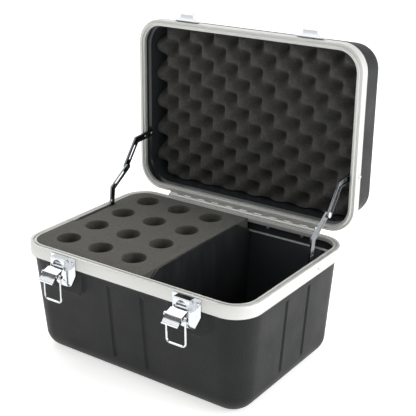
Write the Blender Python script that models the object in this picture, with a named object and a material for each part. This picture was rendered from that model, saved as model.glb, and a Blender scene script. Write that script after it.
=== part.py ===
# A moulded case for twelve microphones: hinged lid, aluminium rims, two draw latches and two lid stays.
# Metres, +Z up. The origin is the centre of the base's underside and the front of the case faces -Y.
# Heights below are measured from the rim plane, where the base and the lid meet, unless they say otherwise.

from math import acos, atan2, cos, hypot, pi, radians, sin

import bmesh
import bpy
from mathutils import Matrix, Vector

# The whole case
CASE_WIDTH = 0.406
CASE_DEPTH = 0.286
BASE_HEIGHT = 0.178
LID_HEIGHT = 0.090
LID_OPEN_ANGLE = radians(91.1)
GAP = 0.0003
CUT_OVERRUN = 0.002

# The two aluminium rims
RIM_WIDTH = 0.0098
RIM_CORNER = 0.0413
RIM_BAND = 0.019
LID_RIM_BAND = 0.0158
RIM_SKIN = 0.0016
RIM_FLANGE = 0.0065
RIM_SLOT_ROOF = 0.0048
GROOVE_START = 0.0042
GROOVE_WIDTH = 0.0030
GROOVE_DEPTH = 0.0032
RIM_SEAM = 0.0004

# The moulded shells
WALL = 0.0025
COLLAR_LENGTH = 0.0020
JOGGLE_DROP = 0.0025
BASE_INSET = 0.0034
BASE_CORNER = 0.046
BASE_DRAFT_SHARE = 0.08
BASE_FILLET = 0.030
LID_INSET = 0.0055
LID_CORNER = 0.042
LID_DRAFT_SHARE = 0.0825
LID_FILLET = 0.027

# The pressed grooves in the base's walls
FLUTE_PLACE = 0.030
FLUTE_HALF_WIDTH = 0.0030
FLUTE_FLOOR = 0.0012
FLUTE_DEPTH = 0.0013
FLUTE_RUNOUT = 0.006
FLUTE_TOP = 0.028

# The raised seats behind the latches
PAD_HALF_WIDTH = 0.0375
PAD_BEVEL = 0.0045
PAD_BOTTOM = 0.062
PAD_CORNER = 0.020

# The foam inserts and the divider
HOLE_RADIUS = 0.018
HOLE_COLUMNS = 3
HOLE_ROWS = 4
HOLES_LEFT_MARGIN = 0.0449
HOLES_RIGHT_MARGIN = 0.0483
HOLES_END_MARGIN = 0.04775
HOLES_CENTRE_Y = 0.0036
BLOCK_RIGHT_SHARE = 0.0665
BLOCK_RISE = 0.0183
DIVIDER_THICKNESS = 0.003
FLOOR_PAD_MID = 0.008
STAY_SLIT_DEPTH = 0.031
STAY_SLIT_MARGIN = 0.0045
EGG_PITCH = 0.047
EGG_PEAK = 0.031
EGG_RELIEF = 0.030
EGG_STEPS_PER_PITCH = 4

# The piano hinge
HINGE_OUT = 0.0055
HINGE_DROP = 0.0005
HINGE_SHEET = 0.0012
HINGE_CURL = 0.0031
HINGE_PIN_RADIUS = 0.0022
HINGE_LEAF_REACH = 0.016
HINGE_FINGER_START = 0.0045
HINGE_END = 0.063
HINGE_KNUCKLES = 20

# The draw latches
LATCH_FROM_SIDE = 0.0915
SHEET = 0.0012
PLATE_HALF_WIDTH = 0.0235
PLATE_FOOT_HALF_WIDTH = 0.0145
PLATE_TOP = 0.001
PLATE_SHOULDER = 0.027
PLATE_BOTTOM = 0.049
PLATE_FOOT_SAG = 0.0037
HOOD_HALF_WIDTH = 0.0135
HOOD_OUT = 0.013
HOOD_DROP = 0.012
HOOD_ARCH = 0.0085
PIVOT_OUT = 0.009
PIVOT_DROP = 0.015
PIVOT_EAR = 0.0045
LATCH_PIN_RADIUS = 0.0015
PIN_PLAY = 0.0003
BARREL_RADIUS = 0.0034
KNEE_OUT = 0.0175
KNEE_DROP = 0.015
CREASE_OUT = 0.0298
CREASE_DROP = 0.019
TIP_OUT = 0.037
TIP_DROP = 0.0285
LIP_LENGTH = 0.0024
LIP_DROP = 0.0008
BAIL_PIVOT_OUT = 0.025
BAIL_PIVOT_DROP = 0.022
LOBE_RADIUS = 0.0042
LOBE_START = radians(-135)
LOBE_END = radians(-18)
LOBE_CHANNEL_DROP = 0.0126
BAIL_HALF_WIDTH = 0.0158
BAIL_WIRE = 0.0015
BAIL_EYE = 0.0032
BAIL_LENGTH = 0.0415
BAIL_BEND = 0.0055

# The keepers on the lid
KEEPER_HALF_WIDTH = 0.0225
KEEPER_NECK_HALF_WIDTH = 0.0122
KEEPER_NECK_OUT = 0.0072
KEEPER_TIP_HALF_WIDTH = 0.0118
KEEPER_TOP = 0.0145
KEEPER_SHELF = 0.0060
KEEPER_OUT = 0.0130
KEEPER_LIP = 0.0118
KEEPER_BEND = 0.0012
KEEPER_BEND_SHARE = 0.33

# The folding lid stays
STAY_BASE_FROM_BACK = 0.092
STAY_BASE_DROP = 0.0104
STAY_LID_FROM_BACK = 0.091
STAY_LID_RISE = 0.0125
STAY_ARM = 0.079
STAY_KINK_ALONG = 0.035
STAY_KINK_SIDE = 0.0175
STAY_UPPER_HALF_WIDTH = 0.0055
STAY_LOWER_HALF_WIDTH = 0.0048
STAY_CHANNEL = 0.0032
STAY_EDGE = 0.0010
STAY_RIM_CLEARANCE = 0.0006
STAY_SLOT_HALF_WIDTH = 0.0016
STAY_SLOT_SHARES = (0.22, 0.72)
STAY_HOLE_SHARE = 0.45
STAY_PIN_RADIUS = 0.0022
STAY_HEAD_RADIUS = 0.0034
STAY_HEAD_HEIGHT = 0.0013
STAY_DOME_SHARE = 0.6

# The carrying handle on the lid
HANDLE_HALF_SPAN = 0.055
HANDLE_REACH = 0.038
HANDLE_RADIUS = 0.0065
HANDLE_ARM_SHARE = 0.72
HANDLE_MIDDLE_SHARE = 0.35
HANDLE_BEND = 0.014
HANDLE_RISE = 0.0095
HANDLE_LUG_RADIUS = 0.0058
HANDLE_LUG_HALF_WIDTH = 0.0045
HANDLE_PIN_RADIUS = 0.002
BRACKET_SHEET = 0.0016
BRACKET_HALF_DEPTH = 0.0075
BRACKET_FOOT = 0.0105
EAR_START = radians(18)
EAR_END = radians(162)

# Facets per quarter or whole turn, and the steepest edge that is shaded smooth
CORNER_STEPS = 8
FILLET_STEPS = 5
HOLE_SIDES = 20
PIN_SIDES = 12
SMALL_SIDES = 10
END_STEPS = 6
CURL_STEPS = 7
SMOOTH_ANGLE = radians(35)

# Sizes that follow from those above
HALF_W = CASE_WIDTH / 2
HALF_D = CASE_DEPTH / 2
HINGE_Y = HALF_D + HINGE_OUT
HINGE_LENGTH = CASE_WIDTH - 2 * HINGE_END
LATCH_X = HALF_W - LATCH_FROM_SIDE
STAY_BASE_Y = HALF_D - STAY_BASE_FROM_BACK
STAY_LID_Y = HALF_D - STAY_LID_FROM_BACK
COLLAR_INSET = RIM_SKIN + GAP
COLLAR_TOP = RIM_SLOT_ROOF + GAP
RIM_INNER_HALF = HALF_W - RIM_WIDTH
BLOCK_RIGHT = CASE_WIDTH * BLOCK_RIGHT_SHARE
HOLES_LEFT = HOLES_LEFT_MARGIN - RIM_INNER_HALF
COLUMN_PITCH = (BLOCK_RIGHT - HOLES_RIGHT_MARGIN - HOLES_LEFT) / (HOLE_COLUMNS - 1)
ROW_PITCH = (CASE_DEPTH - 2 * HOLES_END_MARGIN) / (HOLE_ROWS - 1)
UPPER_WEB_OUTER = RIM_INNER_HALF - STAY_RIM_CLEARANCE - STAY_CHANNEL + SHEET
UPPER_WEB_INNER = UPPER_WEB_OUTER - SHEET
LOWER_WEB_OUTER = UPPER_WEB_INNER - GAP
LOWER_WEB_INNER = LOWER_WEB_OUTER - SHEET
LOWER_CHANNEL_EDGE = LOWER_WEB_OUTER - STAY_CHANNEL

CHARCOAL = (0.035, 0.037, 0.037)
ALUMINIUM = (0.70, 0.71, 0.69)
CHROME = (0.78, 0.80, 0.82)
DARK_CHROME = (0.33, 0.34, 0.35)
FOAM = (0.10, 0.095, 0.088)
EGG_FOAM = (0.045, 0.043, 0.038)
PANEL_BLACK = (0.012, 0.012, 0.013)
GRIP_BLACK = (0.018, 0.018, 0.019)


def material(name, colour, roughness, metallic):
    """A Principled material, made once for each name."""
    found = bpy.data.materials.get(name)
    if found:
        return found
    made = bpy.data.materials.new(name)
    made.use_nodes = True
    shader = made.node_tree.nodes["Principled BSDF"]
    shader.inputs["Base Color"].default_value = (*colour, 1)
    shader.inputs["Roughness"].default_value = roughness
    shader.inputs["Metallic"].default_value = metallic
    return made


def mesh_object(name, points, faces, finish=None):
    """A closed mesh object with outward faces, shaded smooth across shallow edges."""
    shape = bmesh.new()
    corners = [shape.verts.new(point) for point in points]
    for face in faces:
        shape.faces.new([corners[index] for index in face])
    bmesh.ops.recalc_face_normals(shape, faces=shape.faces)
    if shape.calc_volume(signed=True) < 0:
        bmesh.ops.reverse_faces(shape, faces=shape.faces)
    mesh = bpy.data.meshes.new(name)
    shape.to_mesh(mesh)
    shape.free()
    mesh.shade_smooth()
    mesh.set_sharp_from_angle(angle=SMOOTH_ANGLE)
    item = bpy.data.objects.new(name, mesh)
    bpy.context.scene.collection.objects.link(item)
    if finish:
        mesh.materials.append(finish)
    return item


def loft(name, rings, finish=None):
    """Joins rings of equal length and caps the two end rings."""
    count = len(rings[0])
    points = [point for ring in rings for point in ring]
    faces = []
    for low in range(0, len(points) - count, count):
        high = low + count
        for index in range(count):
            beside = (index + 1) % count
            faces.append((low + index, low + beside, high + beside, high + index))
    faces.append(tuple(range(count)))
    faces.append(tuple(range(len(points) - count, len(points))))
    return mesh_object(name, points, faces, finish)


def prism(name, outline, axis, low, high, finish=None):
    """An outline extruded along X, Y or Z between two places; the outline holds the other two axes in order."""
    def place(pair, level):
        values = list(pair)
        values.insert("XYZ".index(axis), level)
        return tuple(values)
    return loft(name, [[place(pair, level) for pair in outline] for level in (low, high)], finish)


def circle(centre, radius, sides, start=0.0):
    """The corners of a regular polygon in a plane."""
    return [(centre[0] + radius * cos(start + 2 * pi * step / sides),
             centre[1] + radius * sin(start + 2 * pi * step / sides)) for step in range(sides)]


def arc(centre, radius, start, end, steps):
    """Points along an arc, both ends included."""
    return [(centre[0] + radius * cos(start + (end - start) * step / steps),
             centre[1] + radius * sin(start + (end - start) * step / steps)) for step in range(steps + 1)]


def turned(name, stations, centre, sides, finish=None):
    """A piece turned about a line along X: stations are (x, radius) and centre is the line's (y, z)."""
    rings = []
    for place, radius in stations:
        rings.append([(place, *pair) for pair in circle(centre, radius, sides, pi / sides)])
    return loft(name, rings, finish)


def boolean(item, tool, operation):
    """Adds an exact Boolean to a piece and hides the tool that it reads."""
    step = item.modifiers.new(tool.name, "BOOLEAN")
    step.operation = operation
    step.solver = "EXACT"
    step.object = tool
    tool.parent = item
    tool.hide_render = True
    tool.display_type = "WIRE"


def cut(item, tool):
    boolean(item, tool, "DIFFERENCE")


def join(item, tool):
    boolean(item, tool, "UNION")


def rounded_ring(half_x, half_y, radius, z, steps=CORNER_STEPS):
    """A rounded rectangle about the middle, one arc at each corner."""
    ring = []
    for quarter, (side_x, side_y) in enumerate(((1, 1), (-1, 1), (-1, -1), (1, -1))):
        centre = (side_x * (half_x - radius), side_y * (half_y - radius))
        start = quarter * pi / 2
        ring += [(*pair, z) for pair in arc(centre, radius, start, start + pi / 2, steps)]
    return ring


def case_ring(inset, radius, z):
    """A rounded rectangle set in from the rims' outer face."""
    return rounded_ring(HALF_W - inset, HALF_D - inset, radius, z)


def shell_levels(collar, joggle, inset, corner, draft, fillet, height, wall):
    """The (inset, corner radius, depth) of each ring of a shell's outside, or of its inside for a wall."""
    foot = height - fillet
    top_corner = RIM_CORNER - COLLAR_INSET
    levels = [(COLLAR_INSET, top_corner, COLLAR_TOP), (COLLAR_INSET, top_corner, collar)]
    start = collar + joggle
    drawn_in = draft * (foot - start)
    levels.append((inset, corner, start))
    levels.append((inset + drawn_in, corner - drawn_in, foot))
    bend = fillet - wall
    levels = [(place + wall, radius - wall, depth) for place, radius, depth in levels]
    place, radius, depth = levels[-1]
    for step in range(1, FILLET_STEPS + 1):
        angle = step * pi / 2 / FILLET_STEPS
        drawn = bend * (1 - cos(angle))
        levels.append((place + drawn, radius - drawn, depth + bend * sin(angle)))
    return levels


def base_levels(wall):
    return shell_levels(RIM_BAND + COLLAR_LENGTH, JOGGLE_DROP, BASE_INSET, BASE_CORNER, BASE_DRAFT_SHARE,
                        BASE_FILLET, BASE_HEIGHT, wall)


def lid_levels(wall):
    return shell_levels(LID_RIM_BAND + COLLAR_LENGTH, JOGGLE_DROP, LID_INSET, LID_CORNER, LID_DRAFT_SHARE,
                        LID_FILLET, LID_HEIGHT, wall)


def between(levels, depth):
    """The inset and corner radius of a shell's surface at a depth, read from its rings."""
    for (near_inset, near_radius, near), (far_inset, far_radius, far) in zip(levels, levels[1:]):
        if near <= depth <= far and far > near:
            share = (depth - near) / (far - near)
            return near_inset + share * (far_inset - near_inset), near_radius + share * (far_radius - near_radius)
    return levels[-1][:2]


def shell(name, levels_of, side, finish):
    """A shell from its outer rings, down over its edge and back up the inner rings."""
    outer = levels_of(0)
    inner = levels_of(WALL)
    rings = [case_ring(place, radius, side * depth) for place, radius, depth in reversed(outer)]
    rings += [case_ring(place, radius, side * depth) for place, radius, depth in inner]
    return loft(name, rings, finish)


def base_wall(depth):
    """How far the base's outer wall stands in from the rim's face at a depth."""
    return between(base_levels(0), depth)[0]


def flute(name, place, turn):
    """The cutter of one upright groove with tapered ends, turned to the wall that it runs down."""
    half = HALF_D if turn % 2 == 0 else HALF_W
    foot = BASE_HEIGHT - BASE_FILLET
    rings = []
    for depth, sink in ((FLUTE_TOP, -GAP), (FLUTE_TOP + FLUTE_RUNOUT, FLUTE_DEPTH),
                        (foot - FLUTE_RUNOUT, FLUTE_DEPTH), (foot, -GAP)):
        face = base_wall(depth) - half
        slope = (FLUTE_HALF_WIDTH - FLUTE_FLOOR) / FLUTE_DEPTH
        mouth = FLUTE_FLOOR + slope * (sink + CUT_OVERRUN)
        section = ((place - FLUTE_FLOOR, face + sink), (place + FLUTE_FLOOR, face + sink),
                   (place + mouth, face - CUT_OVERRUN), (place - mouth, face - CUT_OVERRUN))
        spin = Matrix.Rotation(turn * pi / 2, 3, "Z")
        rings.append([tuple(spin @ Vector((*pair, -depth))) for pair in section])
    return loft(name, rings)


def latch_pad(name, centre):
    """The raised seat that a latch plate's foot rests on, bevelled into the drafted wall."""
    top = RIM_BAND + GAP

    def outline(half_width, bottom, corner):
        pairs = [(half_width, top)]
        pairs += arc((half_width - corner, bottom - corner), corner, 0, pi / 2, END_STEPS)
        pairs += arc((corner - half_width, bottom - corner), corner, pi / 2, pi, END_STEPS)
        pairs.append((-half_width, top))
        return pairs

    wide = outline(PAD_HALF_WIDTH, PAD_BOTTOM, PAD_CORNER)
    narrow = outline(PAD_HALF_WIDTH - PAD_BEVEL, PAD_BOTTOM - PAD_BEVEL, PAD_CORNER - PAD_BEVEL)

    def ring(pairs, sink):
        return [(centre + x, sink(depth) - HALF_D, -depth) for x, depth in pairs]

    rings = [ring(narrow, lambda depth: GAP), ring(wide, lambda depth: base_wall(depth) + GAP),
             ring(wide, lambda depth: base_wall(depth) + WALL / 2)]
    return loft(name, rings)


def pivot_bore(name, side, y, z):
    """A cutter for the hole that a stay's rivet goes through, in one side wall."""
    reach = RIM_WIDTH + CUT_OVERRUN
    return prism(name, circle((y, z), STAY_PIN_RADIUS + PIN_PLAY, PIN_SIDES), "X",
                 side * (HALF_W - reach), side * (HALF_W + CUT_OVERRUN))


def base_shell(finish):
    item = shell("base_shell", base_levels, -1, finish)
    for turn in range(4):
        for sign in (-1, 1):
            cut(item, flute(f"flute_{turn}_{sign + 1}", sign * FLUTE_PLACE, turn))
    for sign in (-1, 1):
        join(item, latch_pad(f"latch_pad_{sign + 1}", sign * LATCH_X))
        cut(item, pivot_bore(f"base_bore_{sign + 1}", sign, STAY_BASE_Y, -STAY_BASE_DROP))
    return item


def lid_shell(finish):
    item = shell("lid_shell", lid_levels, 1, finish)
    for sign in (-1, 1):
        cut(item, pivot_bore(f"lid_bore_{sign + 1}", sign, STAY_LID_Y, STAY_LID_RISE))
    return item


def rim(name, section, finish):
    """A rim section swept once round the case, with its butt seam at the middle of the back."""
    lines = []
    for inset, z in section:
        back = HALF_D - inset
        ring = rounded_ring(HALF_W - inset, back, RIM_CORNER - inset, z, CORNER_STEPS - 1)
        lines.append([(-RIM_SEAM / 2, back, z), *ring[CORNER_STEPS:], *ring[:CORNER_STEPS],
                      (RIM_SEAM / 2, back, z)])
    return loft(name, list(zip(*lines)), finish)


def base_rim(finish):
    groove_end = GROOVE_START + GROOVE_WIDTH
    slot_end = COLLAR_INSET + WALL + GAP
    section = [(0, 0), (GROOVE_START, 0), (GROOVE_START, -GROOVE_DEPTH), (groove_end, -GROOVE_DEPTH),
               (groove_end, 0), (RIM_WIDTH, 0), (RIM_WIDTH, -RIM_FLANGE), (slot_end, -RIM_FLANGE),
               (slot_end, -RIM_SLOT_ROOF), (RIM_SKIN, -RIM_SLOT_ROOF), (RIM_SKIN, -RIM_BAND), (0, -RIM_BAND)]
    item = rim("base_rim", section, finish)
    for sign in (-1, 1):
        cut(item, pivot_bore(f"base_rim_bore_{sign + 1}", sign, STAY_BASE_Y, -STAY_BASE_DROP))
    return item


def lid_rim(finish):
    tongue_start = GROOVE_START + GAP
    tongue_end = GROOVE_START + GROOVE_WIDTH - GAP
    tongue_tip = GAP - GROOVE_DEPTH
    slot_end = COLLAR_INSET + WALL + GAP
    section = [(0, GAP), (tongue_start, GAP), (tongue_start, tongue_tip), (tongue_end, tongue_tip),
               (tongue_end, GAP), (RIM_WIDTH, GAP), (RIM_WIDTH, RIM_FLANGE), (slot_end, RIM_FLANGE),
               (slot_end, RIM_SLOT_ROOF), (RIM_SKIN, RIM_SLOT_ROOF), (RIM_SKIN, LID_RIM_BAND),
               (0, LID_RIM_BAND)]
    item = rim("lid_rim", section, finish)
    for sign in (-1, 1):
        cut(item, pivot_bore(f"lid_rim_bore_{sign + 1}", sign, STAY_LID_Y, STAY_LID_RISE))
    return item


def block_ring(inset, radius, z):
    """The left part of the case's plan: two round corners, and a straight side at the divider."""
    left = inset - HALF_W
    half = HALF_D - inset
    ring = [(BLOCK_RIGHT, -half, z), (BLOCK_RIGHT, half, z)]
    ring += [(*pair, z) for pair in arc((left + radius, half - radius), radius, pi / 2, pi, CORNER_STEPS)]
    ring += [(*pair, z) for pair in arc((left + radius, radius - half), radius, pi, 3 * pi / 2, CORNER_STEPS)]
    return ring


def fitted(levels, depth):
    """The inset and corner of a piece that follows a shell's inside with the standing gap."""
    inset, radius = between(levels, depth)
    return max(inset + GAP, RIM_WIDTH + GAP), radius - GAP


def foam_block(finish):
    inside = base_levels(WALL)
    foot = BASE_HEIGHT - BASE_FILLET
    vertical = RIM_WIDTH - BASE_INSET - WALL
    straight = RIM_BAND + COLLAR_LENGTH + JOGGLE_DROP + vertical / BASE_DRAFT_SHARE
    bottom = BASE_HEIGHT - BLOCK_RISE
    rings = [block_ring(RIM_WIDTH + GAP, RIM_CORNER - RIM_WIDTH - GAP, 0)]
    rings.append(block_ring(RIM_WIDTH + GAP, RIM_CORNER - RIM_WIDTH - GAP, -RIM_BAND))
    for depth in (straight, foot, bottom):
        rings.append(block_ring(*fitted(inside, depth), -depth))
    item = loft("foam_block", rings, finish)
    for column in range(HOLE_COLUMNS):
        for row in range(HOLE_ROWS):
            centre = (HOLES_LEFT + COLUMN_PITCH * column,
                      HOLES_CENTRE_Y + ROW_PITCH * (row - (HOLE_ROWS - 1) / 2))
            cut(item, prism(f"mic_hole_{column}_{row}", circle(centre, HOLE_RADIUS, HOLE_SIDES), "Z",
                            -bottom - CUT_OVERRUN, CUT_OVERRUN))
    for tool in stay_slits():
        cut(item, tool)
    return item


def stay_slits():
    """The cutters of the slit that the left stay's lower arm folds into, with room for its rivet and elbow."""
    inner = -(LOWER_CHANNEL_EDGE - GAP - STAY_EDGE)
    outer = -(LOWER_WEB_OUTER + GAP)
    wall = -(RIM_INNER_HALF + CUT_OVERRUN)
    elbow_y, elbow_z = elbow_place(0)
    rivet_half = STAY_HEAD_RADIUS + STAY_EDGE
    elbow_half = STAY_UPPER_HALF_WIDTH + STAY_EDGE

    def block(name, far, low_y, high_y, depth):
        return prism(name, [(far, low_y), (inner, low_y), (inner, high_y), (far, high_y)], "Z",
                     -depth, CUT_OVERRUN)

    return (block("arm_slit", outer, elbow_y - STAY_LOWER_HALF_WIDTH - STAY_SLIT_MARGIN,
                  STAY_BASE_Y + STAY_LOWER_HALF_WIDTH + STAY_SLIT_MARGIN, STAY_SLIT_DEPTH),
            block("rivet_slit", wall, STAY_BASE_Y - rivet_half, STAY_BASE_Y + rivet_half,
                  STAY_BASE_DROP + rivet_half),
            block("elbow_slit", wall, elbow_y - elbow_half - STAY_SLIT_MARGIN, elbow_y + elbow_half,
                  STAY_UPPER_HALF_WIDTH - elbow_z + STAY_EDGE))


def foam_floor_pad(finish):
    inside = base_levels(WALL)
    rings = []
    for rise in (BLOCK_RISE - GAP, FLOOR_PAD_MID, WALL + GAP):
        inset, radius = between(inside, BASE_HEIGHT - rise)
        rings.append(block_ring(inset + GAP, radius - GAP, rise - BASE_HEIGHT))
    return loft("foam_floor_pad", rings, finish)


def divider_panel(finish):
    inside = base_levels(WALL)
    left = BLOCK_RIGHT + GAP
    depths = [0, RIM_BAND]
    depths += [depth for _, _, depth in inside if depth > BASE_HEIGHT - BASE_FILLET - GAP]
    half_line = []
    for depth in depths[:-1]:
        half_line.append((HALF_D - fitted(inside, depth)[0], -depth))
    half_line.append((HALF_D - inside[-1][0] - GAP, WALL + GAP - BASE_HEIGHT))
    outline = half_line + [(-half, z) for half, z in reversed(half_line)]
    return prism("divider_panel", outline, "X", left, left + DIVIDER_THICKNESS, finish)


def lid_foam(finish):
    """A sheet of egg-crate foam: peaks in quincunx on a sheet that fills the lid."""
    inside = lid_levels(WALL)
    back = LID_HEIGHT - WALL - GAP
    mean = EGG_PEAK + EGG_RELIEF / 2
    inset, corner = fitted(inside, LID_HEIGHT - LID_FILLET)
    half_x = HALF_W - inset
    half_y = HALF_D - inset
    step = EGG_PITCH / EGG_STEPS_PER_PITCH
    columns = int(half_x / step)
    rows = int(half_y / step)

    def along(index, count, half):
        return half * (1 if index > 0 else -1) if abs(index) > count else index * step

    def rounded(x, y):
        """Pulls a point of the sheet's square corner in to the corner's arc."""
        over_x, over_y = abs(x) - (half_x - corner), abs(y) - (half_y - corner)
        if over_x <= 0 or over_y <= 0:
            return x, y
        reach = hypot(over_x, over_y)
        share = min(1, corner / reach) if reach else 1
        return ((half_x - corner + over_x * share) * (1 if x > 0 else -1),
                (half_y - corner + over_y * share) * (1 if y > 0 else -1))

    points = []
    width = 2 * columns + 3
    depth = 2 * rows + 3
    for row in range(-rows - 1, rows + 2):
        for column in range(-columns - 1, columns + 2):
            x, y = rounded(along(column, columns, half_x), along(row, rows, half_y))
            wave = cos(2 * pi * x / EGG_PITCH) * cos(2 * pi * y / EGG_PITCH)
            points.append((x, y, mean - wave * EGG_RELIEF / 2))
    faces = []
    for row in range(depth - 1):
        for column in range(width - 1):
            low = row * width + column
            faces.append((low, low + 1, low + width + 1, low + width))
    border = list(range(width)) + [row * width + width - 1 for row in range(1, depth)]
    border += [(depth - 1) * width + column for column in range(width - 2, -1, -1)]
    border += [row * width for row in range(depth - 2, 0, -1)]
    level = border
    for drawn, z in ((0, LID_HEIGHT - LID_FILLET), (LID_FILLET - WALL, back)):
        start = len(points)
        for index in border:
            x, y, _ = points[index]
            points.append((x * (1 - drawn / half_x), y * (1 - drawn / half_y), z))
        for place in range(len(border)):
            beside = (place + 1) % len(border)
            faces.append((level[place], level[beside], start + beside, start + place))
        level = list(range(start, start + len(border)))
    faces.append(tuple(level))
    return mesh_object("lid_foam", points, faces, finish)


def strip_outline(path, thickness):
    """The outline of a bent strip of sheet, from the line along its middle."""
    left, right = [], []
    for index, (u, v) in enumerate(path):
        back = path[max(index - 1, 0)]
        ahead = path[min(index + 1, len(path) - 1)]
        if 0 < index < len(path) - 1:
            first = atan2(v - back[1], u - back[0])
            second = atan2(ahead[1] - v, ahead[0] - u)
            turn = (second - first + pi) % (2 * pi) - pi
            heading = first + turn / 2
            reach = thickness / 2 / cos(turn / 2)
        else:
            heading = atan2(ahead[1] - back[1], ahead[0] - back[0])
            reach = thickness / 2
        left.append((u - reach * sin(heading), v + reach * cos(heading)))
        right.append((u + reach * sin(heading), v - reach * cos(heading)))
    return left + right[::-1]


def hinge_leaf(name, side, finish):
    """One leaf of the piano hinge, closed: side -1 is the base's and +1 the lid's."""
    face = HALF_D + GAP + HINGE_SHEET / 2
    curl = HINGE_Y - HINGE_CURL
    axis_z = -HINGE_DROP
    start = axis_z + side * HINGE_FINGER_START
    far = axis_z + side * HINGE_LEAF_REACH
    leaf = prism(name, [(face - HINGE_SHEET / 2, far), (face + HINGE_SHEET / 2, far),
                        (face + HINGE_SHEET / 2, start), (face - HINGE_SHEET / 2, start)],
                 "X", -HINGE_LENGTH / 2, HINGE_LENGTH / 2, finish)
    bend = axis_z + side * (HINGE_FINGER_START - HINGE_SHEET / 2)
    path = [(face, axis_z + side * (HINGE_FINGER_START + HINGE_SHEET)), (face, bend),
            (curl, bend - side * (curl - face))]
    path += arc((HINGE_Y, axis_z), HINGE_CURL, pi, pi + side * 3 * pi / 2, CURL_STEPS)
    pitch = HINGE_LENGTH / HINGE_KNUCKLES
    for knuckle in range(HINGE_KNUCKLES):
        if knuckle % 2 == (side + 1) // 2:
            low = knuckle * pitch - HINGE_LENGTH / 2
            join(leaf, prism(f"{name}_knuckle_{knuckle}", strip_outline(path, HINGE_SHEET), "X",
                             low + GAP / 2, low + pitch - GAP / 2))
    return leaf


def hinge_pin(finish):
    half = HINGE_LENGTH / 2
    stations = [(-half - HINGE_SHEET, HINGE_CURL), (-half - GAP, HINGE_CURL), (-half - GAP, HINGE_PIN_RADIUS),
                (half + GAP, HINGE_PIN_RADIUS), (half + GAP, HINGE_CURL), (half + HINGE_SHEET, HINGE_CURL)]
    return turned("hinge_pin", stations, (HINGE_Y, -HINGE_DROP), PIN_SIDES, finish)


def latch_plate(name, finish):
    """A latch's fixed plate, with the pressed hood and ears that carry the lever's pin."""
    front = -HALF_D - GAP - SHEET
    outline = [(PLATE_HALF_WIDTH, -PLATE_TOP), (PLATE_HALF_WIDTH, -PLATE_SHOULDER)]
    outline += [(x * PLATE_FOOT_HALF_WIDTH, PLATE_FOOT_SAG * (1 - rise) - PLATE_BOTTOM)
                for x, rise in arc((0, 0), 1, 0, pi, END_STEPS)]
    outline += [(-PLATE_HALF_WIDTH, -PLATE_SHOULDER), (-PLATE_HALF_WIDTH, -PLATE_TOP)]
    plate = prism(name, outline, "Y", front, front + SHEET, finish)
    nose = -HALF_D - HOOD_OUT
    pin_y, pin_z = -HALF_D - PIVOT_OUT, -PIVOT_DROP
    rest = front + SHEET / 2
    profile = [(rest, -PLATE_TOP), (nose + SHEET, -PLATE_TOP), (nose, -PLATE_TOP - SHEET), (nose, -HOOD_DROP)]
    profile += arc((pin_y, pin_z), PIVOT_EAR, pi, 3 * pi / 2, 4)
    profile.append((rest, pin_z - PIVOT_EAR - SHEET))
    hood = prism(f"{name}_hood", profile, "X", -HOOD_HALF_WIDTH, HOOD_HALF_WIDTH)
    inside = HOOD_HALF_WIDTH - SHEET
    below = pin_z - PIVOT_EAR - CUT_OVERRUN
    hollow = prism(f"{name}_hollow",
                   [(front, -PLATE_TOP - SHEET), (nose + SHEET, -PLATE_TOP - SHEET), (nose + SHEET, -HOOD_DROP),
                    (nose - CUT_OVERRUN, -HOOD_DROP), (nose - CUT_OVERRUN, below), (front, below)],
                   "X", -inside, inside)
    arch = prism(f"{name}_arch", circle((0, -HOOD_DROP), HOOD_ARCH, HOLE_SIDES, pi / HOLE_SIDES), "Y",
                 nose - CUT_OVERRUN, nose + SHEET + CUT_OVERRUN)
    bore = prism(f"{name}_bore", circle((pin_y, pin_z), LATCH_PIN_RADIUS + PIN_PLAY, SMALL_SIDES), "X",
                 -HOOD_HALF_WIDTH - CUT_OVERRUN, HOOD_HALF_WIDTH + CUT_OVERRUN)
    for tool in (hollow, arch, bore):
        cut(hood, tool)
    join(plate, hood)
    return plate


def lever_place(out, drop):
    """A place on the latch's side view, seen from the lever's pivot with the case's axes."""
    return PIVOT_OUT - out, PIVOT_DROP - drop


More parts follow.
